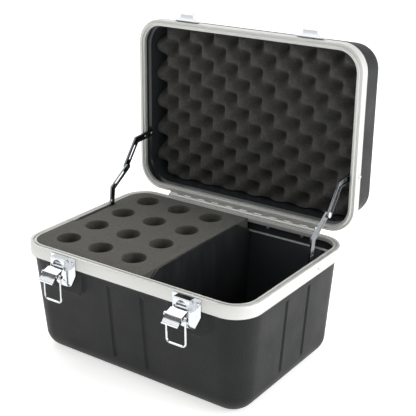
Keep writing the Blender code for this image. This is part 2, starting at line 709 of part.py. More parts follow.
def latch_lever(name, finish):
    """A latch's lever: a barrel on the pivot pin, a folded thumb flap and two lobes for the bail."""
    inner = HOOD_HALF_WIDTH - SHEET - GAP
    outer = HOOD_HALF_WIDTH
    knee = lever_place(KNEE_OUT, KNEE_DROP)
    crease = lever_place(CREASE_OUT, CREASE_DROP)
    tip = lever_place(TIP_OUT, TIP_DROP)
    lip = (tip[0] - LIP_LENGTH, tip[1] - LIP_DROP)
    barrel = prism(name, circle((0, 0), BARREL_RADIUS, PIN_SIDES, pi / PIN_SIDES), "X", -inner, inner, finish)
    neck = prism(f"{name}_neck", strip_outline([(-BARREL_RADIUS / 2, 0), knee, crease], SHEET),
                 "X", -inner, inner)
    flap = prism(f"{name}_flap", strip_outline([knee, crease, tip, lip], SHEET), "X", -outer, outer)
    pin = lever_place(BAIL_PIVOT_OUT, BAIL_PIVOT_DROP)
    side = [knee, crease, tip]
    side += arc(pin, LOBE_RADIUS, LOBE_START, LOBE_END, END_STEPS)
    lobes = prism(f"{name}_lobes", side, "X", -outer, outer)
    channel = prism(f"{name}_channel", [(knee[0] + CUT_OVERRUN, knee[1] - SHEET / 2),
                                        (crease[0], crease[1] - SHEET / 2),
                                        (tip[0], tip[1] - SHEET / 2),
                                        (tip[0], tip[1] - LOBE_CHANNEL_DROP),
                                        (knee[0] + CUT_OVERRUN, tip[1] - LOBE_CHANNEL_DROP)],
                    "X", -inner, inner)
    cut(lobes, channel)
    join(barrel, neck)
    join(barrel, flap)
    join(barrel, lobes)
    cut(barrel, prism(f"{name}_bore", circle((0, 0), LATCH_PIN_RADIUS + PIN_PLAY, SMALL_SIDES), "X",
                      -outer - CUT_OVERRUN, outer + CUT_OVERRUN))
    cut(barrel, prism(f"{name}_bail_bore", circle(pin, LATCH_PIN_RADIUS + PIN_PLAY, SMALL_SIDES), "X",
                      -outer - CUT_OVERRUN, outer + CUT_OVERRUN))
    return barrel


def lever_pin(name, finish):
    """The lever's pivot pin, its chamfered ends standing just proud of the hood's ears."""
    half = HOOD_HALF_WIDTH + GAP
    tip = LATCH_PIN_RADIUS - GAP
    stations = [(-half, tip), (GAP - half, LATCH_PIN_RADIUS), (half - GAP, LATCH_PIN_RADIUS), (half, tip)]
    return turned(name, stations, (0, 0), SMALL_SIDES, finish)


def bail_pin(name, finish):
    half = BAIL_HALF_WIDTH + BAIL_WIRE + GAP
    head = LATCH_PIN_RADIUS + SHEET
    stations = [(-half - SHEET, head), (-half, head), (-half, LATCH_PIN_RADIUS), (half, LATCH_PIN_RADIUS),
                (half, head), (half + SHEET, head)]
    return turned(name, stations, (0, 0), SMALL_SIDES, finish)


def latch_bail(name, finish):
    """A latch's wire bail: a bent wire with an eye at each end."""
    bar = -BAIL_LENGTH
    path = [(-BAIL_HALF_WIDTH, 0, -BAIL_EYE + BAIL_WIRE / 2)]
    path += [(x, 0, z) for x, z in arc((BAIL_BEND - BAIL_HALF_WIDTH, bar + BAIL_BEND), BAIL_BEND, pi,
                                       3 * pi / 2, 4)]
    path += [(-x, 0, z) for x, _, z in reversed(path)]
    rings = []
    for index, point in enumerate(path):
        back = Vector(path[max(index - 1, 0)])
        ahead = Vector(path[min(index + 1, len(path) - 1)])
        heading = (ahead - back).normalized()
        side = Vector((-heading.z, 0, heading.x))
        rings.append([tuple(Vector(point) + side * u + Vector((0, v, 0)))
                      for u, v in circle((0, 0), BAIL_WIRE, SMALL_SIDES)])
    wire = loft(name, rings, finish)
    for sign in (-1, 1):
        eye = prism(f"{name}_eye_{sign + 1}", circle((0, 0), BAIL_EYE, PIN_SIDES), "X",
                    sign * BAIL_HALF_WIDTH - BAIL_WIRE, sign * BAIL_HALF_WIDTH + BAIL_WIRE)
        join(wire, eye)
    reach = BAIL_HALF_WIDTH + BAIL_WIRE + CUT_OVERRUN
    cut(wire, prism(f"{name}_bore", circle((0, 0), LATCH_PIN_RADIUS + PIN_PLAY, SMALL_SIDES), "X", -reach, reach))
    return wire


def keeper(name, finish):
    """A keeper: a riveted flange, a shelf that narrows outwards and a lip that the bail hooks behind."""
    face = -HALF_D - GAP - SHEET / 2
    lip = -HALF_D - KEEPER_OUT
    bend = KEEPER_BEND + SHEET / 2
    part_way = bend * KEEPER_BEND_SHARE
    stations = [(face, KEEPER_TOP, KEEPER_HALF_WIDTH), (face, KEEPER_SHELF + bend, KEEPER_HALF_WIDTH),
                (face - part_way, KEEPER_SHELF + part_way, KEEPER_HALF_WIDTH),
                (face - bend, KEEPER_SHELF, KEEPER_HALF_WIDTH),
                (-HALF_D - KEEPER_NECK_OUT, KEEPER_SHELF, KEEPER_NECK_HALF_WIDTH),
                (lip + bend, KEEPER_SHELF, KEEPER_TIP_HALF_WIDTH),
                (lip + part_way, KEEPER_SHELF + part_way, KEEPER_TIP_HALF_WIDTH),
                (lip, KEEPER_SHELF + bend, KEEPER_TIP_HALF_WIDTH), (lip, KEEPER_LIP, KEEPER_TIP_HALF_WIDTH)]
    outline = strip_outline([station[:2] for station in stations], SHEET)
    rings = []
    for index, (_, _, half) in enumerate(stations):
        left, right = outline[index], outline[-1 - index]
        rings.append([(-half, *left), (half, *left), (half, *right), (-half, *right)])
    return loft(name, rings, finish)


def turn_about(point, centre, angle):
    """A (y, z) point turned about another, by the right-hand rule about X."""
    y, z = point[0] - centre[0], point[1] - centre[1]
    return (centre[0] + y * cos(angle) - z * sin(angle), centre[1] + y * sin(angle) + z * cos(angle))


def stay_pivots(opening):
    """The two outer pivots of a stay with the lid open by an angle."""
    lid = turn_about((STAY_LID_Y, STAY_LID_RISE), (HINGE_Y, -HINGE_DROP), -opening)
    return (STAY_BASE_Y, -STAY_BASE_DROP), lid


def elbow_place(opening):
    """Where a stay's elbow is with the lid open by an angle: in front of the line between its pivots."""
    base, lid = stay_pivots(opening)
    span = hypot(lid[0] - base[0], lid[1] - base[1])
    heading = atan2(lid[1] - base[1], lid[0] - base[0])
    angle = heading + acos(span / 2 / STAY_ARM)
    return base[0] + STAY_ARM * cos(angle), base[1] + STAY_ARM * sin(angle)


def arm_angles(opening):
    """The headings of the lower and the upper arm, each from its outer pivot to the elbow."""
    base, lid = stay_pivots(opening)
    elbow = elbow_place(opening)
    return (atan2(elbow[1] - base[1], elbow[0] - base[0]), atan2(elbow[1] - lid[1], elbow[0] - lid[0]))


def rounded_band(path, half_width):
    """A band of even width along a bent line, with round ends and a mitred bend."""
    sides = strip_outline(path, 2 * half_width)
    count = len(path)
    outline = sides[1:count - 1]
    for end, before in ((path[-1], path[-2]), (path[0], path[1])):
        heading = atan2(end[1] - before[1], end[0] - before[0])
        outline += arc(end, half_width, heading + pi / 2, heading - pi / 2, END_STEPS)
        if end == path[-1]:
            outline += sides[count + 1:-1]
    return outline


def stay_arm(name, kink, half_width, web, channel_edge, finish):
    """A channel-section stay arm with a dog-leg, a long slot, a small hole and a bore at each end."""
    path = [(0, 0), (STAY_KINK_ALONG, kink), (STAY_ARM, 0)]
    web_face = web[0] if abs(web[1] - channel_edge) < abs(web[0] - channel_edge) else web[1]
    inner_face = web[1] if web_face == web[0] else web[0]
    arm = prism(name, rounded_band(path, half_width), "X", *sorted((web_face, channel_edge)), finish)
    outward = CUT_OVERRUN if channel_edge > inner_face else -CUT_OVERRUN
    pocket = prism(f"{name}_pocket", rounded_band(path, half_width - STAY_EDGE), "X",
                   *sorted((inner_face, channel_edge + outward)))
    start, end = STAY_SLOT_SHARES

    def along(share):
        return (STAY_KINK_ALONG + share * (STAY_ARM - STAY_KINK_ALONG), kink * (1 - share))

    low, high = sorted((web_face - outward, inner_face + outward))
    slot = prism(f"{name}_slot", rounded_band([along(start), along((start + end) / 2), along(end)],
                                              STAY_SLOT_HALF_WIDTH), "X", low, high)
    hole_centre = (STAY_KINK_ALONG * STAY_HOLE_SHARE, kink * STAY_HOLE_SHARE)
    hole = prism(f"{name}_hole", circle(hole_centre, STAY_SLOT_HALF_WIDTH, SMALL_SIDES), "X", low, high)
    cut(arm, pocket)
    cut(arm, slot)
    cut(arm, hole)
    cut(arm, prism(f"{name}_pivot_bore", circle((0, 0), STAY_PIN_RADIUS + PIN_PLAY, PIN_SIDES), "X", low, high))
    return arm


def stay_rivet(name, side, web, finish):
    """A shouldered rivet: head outside the band, spacer inside the wall, shank and head at the arm."""
    outer_face, inner_face = web
    wall = HALF_W - COLLAR_INSET - WALL - GAP
    dome = STAY_HEAD_RADIUS * STAY_DOME_SHARE
    stations = [(HALF_W + GAP + STAY_HEAD_HEIGHT, dome), (HALF_W + GAP, STAY_HEAD_RADIUS),
                (HALF_W + GAP, STAY_PIN_RADIUS), (wall, STAY_PIN_RADIUS), (wall, STAY_HEAD_RADIUS),
                (outer_face + GAP, STAY_HEAD_RADIUS), (outer_face + GAP, STAY_PIN_RADIUS),
                (inner_face - GAP, STAY_PIN_RADIUS), (inner_face - GAP, STAY_HEAD_RADIUS),
                (inner_face - GAP - STAY_HEAD_HEIGHT, dome)]
    return turned(name, [(side * place, radius) for place, radius in stations], (0, 0), SMALL_SIDES, finish)


def elbow_rivet(name, side, finish):
    """The elbow's rivet in the upper arm, its shank flush with the arm's inner face."""
    dome = STAY_HEAD_RADIUS * STAY_DOME_SHARE
    head = UPPER_WEB_OUTER + GAP
    stations = [(head + STAY_HEAD_HEIGHT, dome), (head, STAY_HEAD_RADIUS), (head, STAY_PIN_RADIUS),
                (UPPER_WEB_INNER, STAY_PIN_RADIUS)]
    return turned(name, [(side * place, radius) for place, radius in stations], (STAY_ARM, 0),
                  SMALL_SIDES, finish)


def handle_grip(finish):
    """The bow of the carrying handle, folded flat: its middle is thicker than its two arms."""
    half = HANDLE_HALF_SPAN
    path = [(-half, 0)]
    path += arc((HANDLE_BEND - half, HANDLE_REACH - HANDLE_BEND), HANDLE_BEND, pi, pi / 2, 4)
    path += [(-half * HANDLE_MIDDLE_SHARE, HANDLE_REACH)]
    path += [(-x, y) for x, y in reversed(path)]
    rings = []
    for index, (x, y) in enumerate(path):
        back, ahead = path[max(index - 1, 0)], path[min(index + 1, len(path) - 1)]
        heading = Vector((ahead[0] - back[0], ahead[1] - back[1])).normalized()
        share = HANDLE_ARM_SHARE + (1 - HANDLE_ARM_SHARE) * max(0, y) / HANDLE_REACH
        radius = HANDLE_RADIUS * share
        rings.append([(x + heading.y * u, y - heading.x * u, v)
                      for u, v in circle((0, 0), radius, SMALL_SIDES, pi / SMALL_SIDES)])
    grip = loft("handle_grip", rings, finish)
    for sign in (-1, 1):
        join(grip, prism(f"grip_lug_{sign + 1}", circle((0, 0), HANDLE_LUG_RADIUS, PIN_SIDES), "X",
                         sign * half - HANDLE_LUG_HALF_WIDTH, sign * half + HANDLE_LUG_HALF_WIDTH))
    reach = half + HANDLE_LUG_HALF_WIDTH + CUT_OVERRUN
    cut(grip, prism("grip_bore", circle((0, 0), HANDLE_PIN_RADIUS + PIN_PLAY, SMALL_SIDES), "X", -reach, reach))
    return grip


def handle_bracket(name, centre, finish):
    """A bracket under one end of the handle: two ears on a riveted foot."""
    ear = HANDLE_LUG_HALF_WIDTH + GAP
    top = LID_HEIGHT + GAP
    axis_z = LID_HEIGHT + HANDLE_RISE
    foot = prism(name, [(centre - ear - BRACKET_FOOT, -BRACKET_HALF_DEPTH),
                        (centre + ear + BRACKET_FOOT, -BRACKET_HALF_DEPTH),
                        (centre + ear + BRACKET_FOOT, BRACKET_HALF_DEPTH),
                        (centre - ear - BRACKET_FOOT, BRACKET_HALF_DEPTH)], "Z", top, top + BRACKET_SHEET,
                 finish)
    profile = [(-BRACKET_HALF_DEPTH, top + BRACKET_SHEET / 2), (BRACKET_HALF_DEPTH, top + BRACKET_SHEET / 2)]
    profile += arc((0, axis_z), HANDLE_LUG_RADIUS, EAR_START, EAR_END, END_STEPS)
    for sign in (-1, 1):
        low = centre + sign * ear
        join(foot, prism(f"{name}_ear_{sign + 1}", profile, "X", *sorted((low, low + sign * BRACKET_SHEET))))
    reach = ear + BRACKET_SHEET + CUT_OVERRUN
    cut(foot, prism(f"{name}_bore", circle((0, axis_z), HANDLE_PIN_RADIUS + PIN_PLAY, SMALL_SIDES), "X",
                    centre - reach, centre + reach))
    return foot


def handle_pin(name, finish):
    half = HANDLE_LUG_HALF_WIDTH + GAP + BRACKET_SHEET + GAP
    head = HANDLE_PIN_RADIUS + BRACKET_SHEET
    stations = [(-half - SHEET, head), (-half, head), (-half, HANDLE_PIN_RADIUS), (half, HANDLE_PIN_RADIUS),
                (half, head), (half + SHEET, head)]
    return turned(name, stations, (0, 0), SMALL_SIDES, finish)


def empty(name, location, parent=None):
    """A joint's frame, on its axis."""
    item = bpy.data.objects.new(name, None)
    item.location = location
    item.parent = parent
    bpy.context.scene.collection.objects.link(item)
    return item


def seat(item, location, parent=None, turn=0.0):
    """Places a piece, on another one where it has a parent, turned about X."""
    item.location = location
    item.rotation_euler = (turn, 0, 0)
    item.parent = parent
    return item


def build_latch(side, label, chrome):
    """One latch at rest as its owner leaves it: lever half down and bail hanging."""
    x = side * LATCH_X
    seat(latch_plate(f"latch_plate_{label}", chrome), (x, 0, BASE_HEIGHT))
    pivot = (x, -HALF_D - PIVOT_OUT, BASE_HEIGHT - PIVOT_DROP)
    seat(lever_pin(f"lever_pin_{label}", chrome), pivot)
    lever = seat(latch_lever(f"latch_lever_{label}", chrome), pivot)
    pin = seat(bail_pin(f"bail_pin_{label}", chrome), (0, *lever_place(BAIL_PIVOT_OUT, BAIL_PIVOT_DROP)), lever)
    seat(latch_bail(f"latch_bail_{label}", chrome), (0, 0, 0), pin)


def build_stay(side, label, lid, dark):
    """One folding stay, its two arms meeting at the elbow with the lid open."""
    lower_angle, upper_angle = arm_angles(LID_OPEN_ANGLE)
    lower_web = (side * LOWER_WEB_OUTER, side * LOWER_WEB_INNER)
    upper_web = (side * UPPER_WEB_OUTER, side * UPPER_WEB_INNER)
    base_place = (0, STAY_BASE_Y, BASE_HEIGHT - STAY_BASE_DROP)
    lower = stay_arm(f"stay_lower_{label}", STAY_KINK_SIDE, STAY_LOWER_HALF_WIDTH, lower_web,
                     side * LOWER_CHANNEL_EDGE, dark)
    tail = [(side * (LOWER_WEB_OUTER - SHEET / 2), STAY_PIN_RADIUS + STAY_EDGE),
            (side * (LOWER_WEB_INNER - STAY_EDGE), STAY_PIN_RADIUS)]
    join(lower, turned(f"stay_tail_{label}", tail, (STAY_ARM, 0), SMALL_SIDES))
    seat(lower, base_place, turn=lower_angle)
    seat(stay_rivet(f"stay_base_rivet_{label}", side, (LOWER_WEB_OUTER, LOWER_WEB_INNER), dark), base_place)
    upper = stay_arm(f"stay_upper_{label}", -STAY_KINK_SIDE, STAY_UPPER_HALF_WIDTH, upper_web,
                     side * (RIM_INNER_HALF - STAY_RIM_CLEARANCE), dark)
    cut(upper, prism(f"elbow_bore_{label}", circle((STAY_ARM, 0), STAY_PIN_RADIUS + PIN_PLAY, PIN_SIDES), "X",
                     *sorted((side * (UPPER_WEB_INNER - CUT_OVERRUN), side * (UPPER_WEB_OUTER + CUT_OVERRUN)))))
    lid_place = (0, STAY_LID_Y - HINGE_Y, STAY_LID_RISE + HINGE_DROP)
    seat(upper, lid_place, lid, upper_angle + LID_OPEN_ANGLE)
    seat(stay_rivet(f"stay_lid_rivet_{label}", side, (UPPER_WEB_OUTER, UPPER_WEB_INNER), dark), lid_place, lid)
    seat(elbow_rivet(f"stay_elbow_rivet_{label}", side, dark), (0, 0, 0), upper)


def build_lid(lid, plastic, aluminium, chrome, dark):
    """Everything that turns with the lid, modelled closed and carried by the hinge's frame."""
    closed = (0, -HINGE_Y, HINGE_DROP)
    seat(lid_shell(plastic), closed, lid)
    seat(lid_rim(aluminium), closed, lid)
    seat(lid_foam(material("egg_crate_foam", EGG_FOAM, 0.95, 0.0)), closed, lid)
    seat(hinge_leaf("hinge_leaf_lid", 1, aluminium), closed, lid)
    for side, label in ((-1, "L"), (1, "R")):
        seat(keeper(f"keeper_{label}", chrome), (side * LATCH_X, -HINGE_Y, HINGE_DROP), lid)
        seat(handle_bracket(f"handle_bracket_{label}", side * HANDLE_HALF_SPAN, chrome), closed, lid)
        seat(handle_pin(f"handle_pin_{label}", chrome),
             (side * HANDLE_HALF_SPAN, -HINGE_Y, HINGE_DROP + LID_HEIGHT + HANDLE_RISE), lid)
    grip = handle_grip(material("black_grip", GRIP_BLACK, 0.5, 0.0))
    hanging = LID_OPEN_ANGLE - pi / 2
    seat(grip, (0, -HINGE_Y, HINGE_DROP + LID_HEIGHT + HANDLE_RISE), lid, hanging)


def main():
    for item in list(bpy.data.objects):
        bpy.data.objects.remove(item)
    plastic = material("textured_black_abs", CHARCOAL, 0.6, 0.0)
    aluminium = material("matt_aluminium", ALUMINIUM, 0.38, 1.0)
    chrome = material("bright_chrome", CHROME, 0.12, 1.0)
    dark = material("plated_steel", DARK_CHROME, 0.25, 1.0)
    rest = (0, 0, BASE_HEIGHT)
    seat(base_shell(plastic), rest)
    seat(base_rim(aluminium), rest)
    foam = material("grey_foam", FOAM, 0.95, 0.0)
    seat(foam_block(foam), rest)
    seat(foam_floor_pad(foam), rest)
    seat(divider_panel(material("black_panel", PANEL_BLACK, 0.35, 0.0)), rest)
    seat(hinge_leaf("hinge_leaf_base", -1, aluminium), rest)
    seat(hinge_pin(aluminium), rest)
    lid = empty("lid_hinge_axis", (0, HINGE_Y, BASE_HEIGHT - HINGE_DROP))
    lid.rotation_euler = (-LID_OPEN_ANGLE, 0, 0)
    build_lid(lid, plastic, aluminium, chrome, dark)
    for side, label in ((-1, "L"), (1, "R")):
        build_latch(side, label, chrome)
        build_stay(side, label, lid, dark)
    bpy.context.view_layer.update()


main()
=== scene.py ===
"""The looks of a moulded microphone case, as an add-on with one operator for each group of pieces."""
from math import atan2, ceil, cos, hypot, pi, radians, sin

import bmesh
import bpy
from mathutils import Matrix, Vector


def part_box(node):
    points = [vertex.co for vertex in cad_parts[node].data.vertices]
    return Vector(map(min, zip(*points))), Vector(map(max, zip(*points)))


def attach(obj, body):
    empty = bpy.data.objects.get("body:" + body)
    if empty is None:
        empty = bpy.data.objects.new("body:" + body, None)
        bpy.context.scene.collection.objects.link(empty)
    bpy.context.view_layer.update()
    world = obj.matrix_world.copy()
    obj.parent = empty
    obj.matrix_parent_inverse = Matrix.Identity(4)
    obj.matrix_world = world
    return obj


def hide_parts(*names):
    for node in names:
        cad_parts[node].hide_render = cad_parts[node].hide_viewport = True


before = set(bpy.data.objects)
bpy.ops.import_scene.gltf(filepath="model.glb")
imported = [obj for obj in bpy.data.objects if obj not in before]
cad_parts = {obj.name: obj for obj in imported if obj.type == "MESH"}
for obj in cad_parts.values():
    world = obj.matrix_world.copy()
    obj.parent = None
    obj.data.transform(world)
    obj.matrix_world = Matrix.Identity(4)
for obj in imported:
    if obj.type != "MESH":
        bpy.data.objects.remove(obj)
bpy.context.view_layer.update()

bl_info = {
    "name": "Microphone case",
    "version": (1, 0, 0),
    "blender": (4, 5, 0),
    "location": "View3D > Sidebar > Microphone case",
    "description": "Dresses the case's solids: moulded shells, aluminium rims, foam, latches and lid stays",
    "category": "Object",
}

# The case's own sizes, in metres. Heights are measured from the rim plane, with the lid shut.
CASE_WIDTH = 0.406
CASE_DEPTH = 0.286
BASE_HEIGHT = 0.178
LID_HEIGHT = 0.090
LID_OPEN_ANGLE = radians(91.1)
GAP = 0.0003
HALF_W = CASE_WIDTH / 2
HALF_D = CASE_DEPTH / 2

# The aluminium rims
RIM_WIDTH = 0.0098
RIM_CORNER = 0.0413
RIM_BAND = 0.019
LID_RIM_BAND = 0.0158
RIM_SKIN = 0.0016
RIM_FLANGE = 0.0065
RIM_SLOT_ROOF = 0.0048
GROOVE_START = 0.0042
GROOVE_WIDTH = 0.0030
GROOVE_DEPTH = 0.0032
RIM_SEAM = 0.0004
RIM_EDGE = 0.00055
RIM_HALF_SPANS = (6, 4)

# The moulded shells. The grooves are drawn wider and deeper than those of the solids.
WALL = 0.0025
COLLAR_LENGTH = 0.0020
COLLAR_INSET = RIM_SKIN + GAP
COLLAR_TOP = RIM_SLOT_ROOF + GAP
JOGGLE_DROP = 0.0025
BASE_INSET = 0.0034
BASE_CORNER = 0.046
BASE_DRAFT_SHARE = 0.08
BASE_FILLET = 0.030
LID_INSET = 0.0055
LID_CORNER = 0.042
LID_DRAFT_SHARE = 0.0825
LID_FILLET = 0.027
FLUTE_PLACE = 0.030
FLUTE_HALF_WIDTH = 0.0044
FLUTE_FLOOR = 0.0016
FLUTE_DEPTH = 0.0021
FLUTE_RUNOUT = 0.006
FLUTE_MARGIN = 0.0008
FLUTE_STEP = 0.0008
FLUTE_TOP = 0.028
PAD_HALF_WIDTH = 0.0375
PAD_BEVEL = 0.0045
PAD_BOTTOM = 0.062
PAD_CORNER = 0.020
PAD_MARGIN = 0.001
PAD_STEP = 0.0018
PAD_LEVEL_STEP = 0.0013
SIDE_STEP = 0.014
PLAIN_SIDE_STEP = 0.02
LEVEL_STEP = 0.012
RUNOUT_LEVEL_STEP = 0.0012

# The foam
HOLE_RADIUS = 0.018
HOLE_PITCH = 0.0635
HOLES_CENTRE = (-0.0848, 0.0036)
HOLE_COLUMNS = 3
HOLE_ROWS = 4
HOLE_SIDES = 48
HOLE_OVERRUN = 0.004
# The levels of a hole's mouth, each with its share of the flare
HOLE_MOUTH = ((-0.004, 0), (-0.0016, 0.2), (-0.0006, 0.5), (0.0001, 1), (0.003, 1))
BLOCK_RIGHT = 0.027
BLOCK_RIGHT_STEPS = 14
BLOCK_RISE = 0.0183
BLOCK_EDGE = 0.0016
BLOCK_EDGE_STEPS = 3
BLOCK_LEVEL_START = 0.03
BLOCK_LEVEL_STEP = 0.02
FLOOR_PAD_EDGE = 0.0012
FLOOR_PAD_PULL = 0.0009
FLOOR_PAD_RISES = (0.012, 0.008, 0.005)
EGG_PEAK = 0.031
EGG_STEP = 0.0024
EGG_BACK_STEPS = 5

# The slits in the block that the left stay folds into: where each lies along the case, and how deep it is
SLIT_WALL = -0.1945
SLIT_OUTER_PLAY = 0.0006
SLIT_INNER_PLAY = 0.0013
SLIT_OVERRUN = 0.003
ARM_SLIT = (-0.0355, 0.0605, 0.031)
RIVET_SLIT = (0.0466, 0.0554, 0.0148)
ELBOW_SLIT = (-0.0355, -0.0200, 0.0020)

# The hinge, latches and stays
HINGE_Y = HALF_D + 0.0055
HINGE_DROP = 0.0005
HINGE_SHEET = 0.0012
HINGE_CURL = 0.0031
HINGE_LEAF_REACH = 0.016
HINGE_FINGER_START = 0.0045
HINGE_FLAT_START = 0.0006
HINGE_LENGTH = 0.280
HINGE_KNUCKLES = 20
HINGE_EDGE = 0.0003
CURL_STEPS = 18
LATCH_X = 0.1115
SHEET = 0.0012
ELBOW_HEAD_RADIUS = 0.0046
ELBOW_HEAD_RISE = 0.0009
HANDLE_HALF_SPAN = 0.055

# Where the rivets are, across and up from the fitting that they hold
LATCH_RIVETS = ((-0.018, -0.0085), (0.018, -0.0085), (0, -0.0415))
KEEPER_RIVET_OFF = 0.0175
KEEPER_RIVET_RISE = 0.0112
HINGE_RIVETS = (-0.123, -0.0615, 0, 0.0615, 0.123)
HINGE_RIVET_RISE = 0.0105
HINGE_TAIL_RISE = 0.0100
BRACKET_RIVET_OFF = 0.0102
BRACKET_SHEET = 0.0016
BAND_RIVET = (0.0838, -0.0086)

# From the lid's shut place to where it stands open
LID_TURN = (Matrix.Translation((0, HINGE_Y, BASE_HEIGHT - HINGE_DROP))
            @ Matrix.Rotation(-LID_OPEN_ANGLE, 4, "X")
            @ Matrix.Translation((0, -HINGE_Y, HINGE_DROP)))
BASE_PLACE = Matrix.Translation((0, 0, BASE_HEIGHT))

# The studio: each softbox is a name, a place, a size and a power in watts
STUDIO_LIGHTS = (("key_softbox", (0.9, -1.5, 1.9), 1.2, 3), ("top_softbox", (-0.9, 0.4, 2.4), 2.4, 31),
                 ("side_softbox", (2.0, 0.3, 0.9), 1.2, 23), ("left_softbox", (-1.53, -1.94, 1.66), 1.8, 11))
LIGHT_AIM = (0, 0, 0.2)
ROOM_DIM = 0.22
BACKDROP_BRIGHT = 0.9
BACKDROP_FADE = (-0.15, 0.45)
CEILING_SHARE = 0.7
CEILING_FADE = (0.55, 0.95)
FLOOR_GLOW = 0.7
FLOOR_HALF = 30

# The camera, from the fit to the photograph
CAMERA_PLACE = (0.79368, -1.05484, 0.74027)
CAMERA_RIGHT = (0.81513, 0.57928, 0)
CAMERA_UP = (-0.20877, 0.29377, 0.93280)
CAMERA_LENS = 82.8
CAMERA_SENSOR = 36

# How finely the round forms are drawn
CORNER_STEPS = 20
FILLET_STEPS = 14
SMOOTH_ANGLE = radians(32)
MERGE_REACH = 0.000002
FLAT_ANGLE = radians(0.6)
ROUNDED_ANGLE = radians(38)
FLAT_WEIGHT = 100
PANEL_EDGE = 0.0005
PANEL_EDGE_STEPS = 3


def linear(code):
    """The linear colour of an sRGB hex value."""
    channels = [int(code[place:place + 2], 16) / 255 for place in (1, 3, 5)]
    return tuple(value / 12.92 if value <= 0.04045 else ((value + 0.055) / 1.055) ** 2.4
                 for value in channels)


def colour_property(label, about, code):
    return bpy.props.FloatVectorProperty(name=label, description=about, default=linear(code), size=3,
                                         min=0, max=1, subtype="COLOR")


def length_property(label, about, size):
    return bpy.props.FloatProperty(name=label, description=about, default=size, min=0, unit="LENGTH",
                                   precision=5)


class MicCaseColours(bpy.types.PropertyGroup):
    """The colours of the case's materials."""

    shell: colour_property("Shell", "Charcoal ABS of the two shells", "#141616")
    lining: colour_property("Shell inside", "Smooth black ABS inside the shells", "#313436")
    # A painted highlight: the line of light on the inner ledge is drawn as a pale colour
    ledge: colour_property("Inner ledge", "Pale line of light on the ledge under the rim, inside", "#c4c7c5")
    rim: colour_property("Rims", "Satin aluminium of the rims and hinge", "#d9d9d6")
    chrome: colour_property("Chrome", "Bright plating of the latches", "#d6d9dc")
    # The stay steel is drawn much darker than plain plating: partly a darker plating, partly a painted dark
    # reflection of dim surroundings
    steel: colour_property("Stay steel", "Darker plating of the lid stays", "#7a7d80")
    foam: colour_property("Foam block", "Grey foam that holds the microphones", "#53524c")
    egg_foam: colour_property("Lid foam", "Dark egg-crate foam in the lid", "#4a4946")
    panel: colour_property("Divider", "Black divider panel", "#242527")
    grip: colour_property("Grip", "Black moulded handle grip", "#222223")
    floor: colour_property("Floor", "Pale studio floor", "#f4f4f3")


class MicCaseSizes(bpy.types.PropertyGroup):
    """Sizes of the case's finer forms."""

    egg_pitch: length_property("Egg-crate pitch", "Distance between two foam peaks in line", 0.047)
    egg_relief: length_property("Egg-crate relief", "Height of a foam peak over the valleys", 0.030)
    hole_flare: length_property("Hole flare", "How much a cut hole in the foam widens at its mouth", 0.0010)
    edge_softness: length_property("Edge softness", "Rounding of the pressed steel's edges", 0.00028)
    rivet_radius: length_property("Rivet radius", "Radius of a sheet rivet's head", 0.0029)
    rivet_rise: length_property("Rivet rise", "Height of a sheet rivet's head", 0.0011)
    grain: length_property("Shell grain", "Cell size of the shell's moulded grain", 0.0021)


def add(tree, kind, inputs=None, **settings):
    """Adds a node: settings are its own properties, inputs are values or sockets by name or number."""
    made = tree.nodes.new(kind)
    for name, value in settings.items():
        setattr(made, name, value)
    for key, value in (inputs or {}).items():
        if isinstance(value, bpy.types.NodeSocket):
            tree.links.new(value, made.inputs[key])
        else:
            made.inputs[key].default_value = value
    return made


def start_material(name, colour, roughness, metallic):
    """A new material with its shader's plain values set on the sockets."""
    made = bpy.data.materials.new(name)
    made.use_nodes = True
    tree = made.node_tree
    shader = tree.nodes["Principled BSDF"]
    shader.inputs["Base Color"].default_value = (*colour, 1)
    shader.inputs["Roughness"].default_value = roughness
    shader.inputs["Metallic"].default_value = metallic
    return made, tree, shader


def shades(tree, factor, colour, low, high):
    """A colour that runs between two shares of itself."""
    blend = add(tree, "ShaderNodeMix", data_type="RGBA")
    tree.links.new(factor, blend.inputs[0])
    blend.inputs[6].default_value = (*[min(1, value * low) for value in colour], 1)
    blend.inputs[7].default_value = (*[min(1, value * high) for value in colour], 1)
    return blend.outputs[2]


def spread(tree, factor, low, high):
    """A number between two limits from a pattern."""
    return add(tree, "ShaderNodeMapRange", {"Value": factor, "From Min": 0.3, "From Max": 0.7,
                                            "To Min": low, "To Max": high}).outputs["Result"]


def object_place(tree):
    """Where a point is in its piece, in metres."""
    return add(tree, "ShaderNodeTexCoord").outputs["Object"]


def stretched(tree, place, *scale):
    return add(tree, "ShaderNodeMapping", {"Vector": place, "Scale": scale}).outputs["Vector"]


def noise(tree, place, scale, detail, **more):
    inputs = {"Vector": place, "Scale": scale, "Detail": detail, **more}
    return add(tree, "ShaderNodeTexNoise", inputs).outputs["Fac"]


def cells(tree, place, scale, **settings):
    """How far a point is from the middle of its cell."""
    inputs = {"Vector": place, "Scale": scale}
    return add(tree, "ShaderNodeTexVoronoi", inputs, **settings).outputs["Distance"]


def mixed(tree, share, first, second):
    return add(tree, "ShaderNodeMix", {0: share, 2: first, 3: second}).outputs[0]


def coat(tree, shader, colour, roughness=None):
    """Gives the shader a drawn colour and, if there is one, a drawn roughness."""
    tree.links.new(colour, shader.inputs["Base Color"])
    if roughness is not None:
        tree.links.new(roughness, shader.inputs["Roughness"])


def raised(tree, shader, height, strength, distance):
    """Raises the shader's surface by a pattern, the distance in metres."""
    bump = add(tree, "ShaderNodeBump", {"Strength": strength, "Distance": distance, "Height": height})
    tree.links.new(bump.outputs["Normal"], shader.inputs["Normal"])


def made_once(build):
    """Keeps one material for each name."""
    def once(name, *values):
        return bpy.data.materials.get(name) or build(name, *values)
    return once


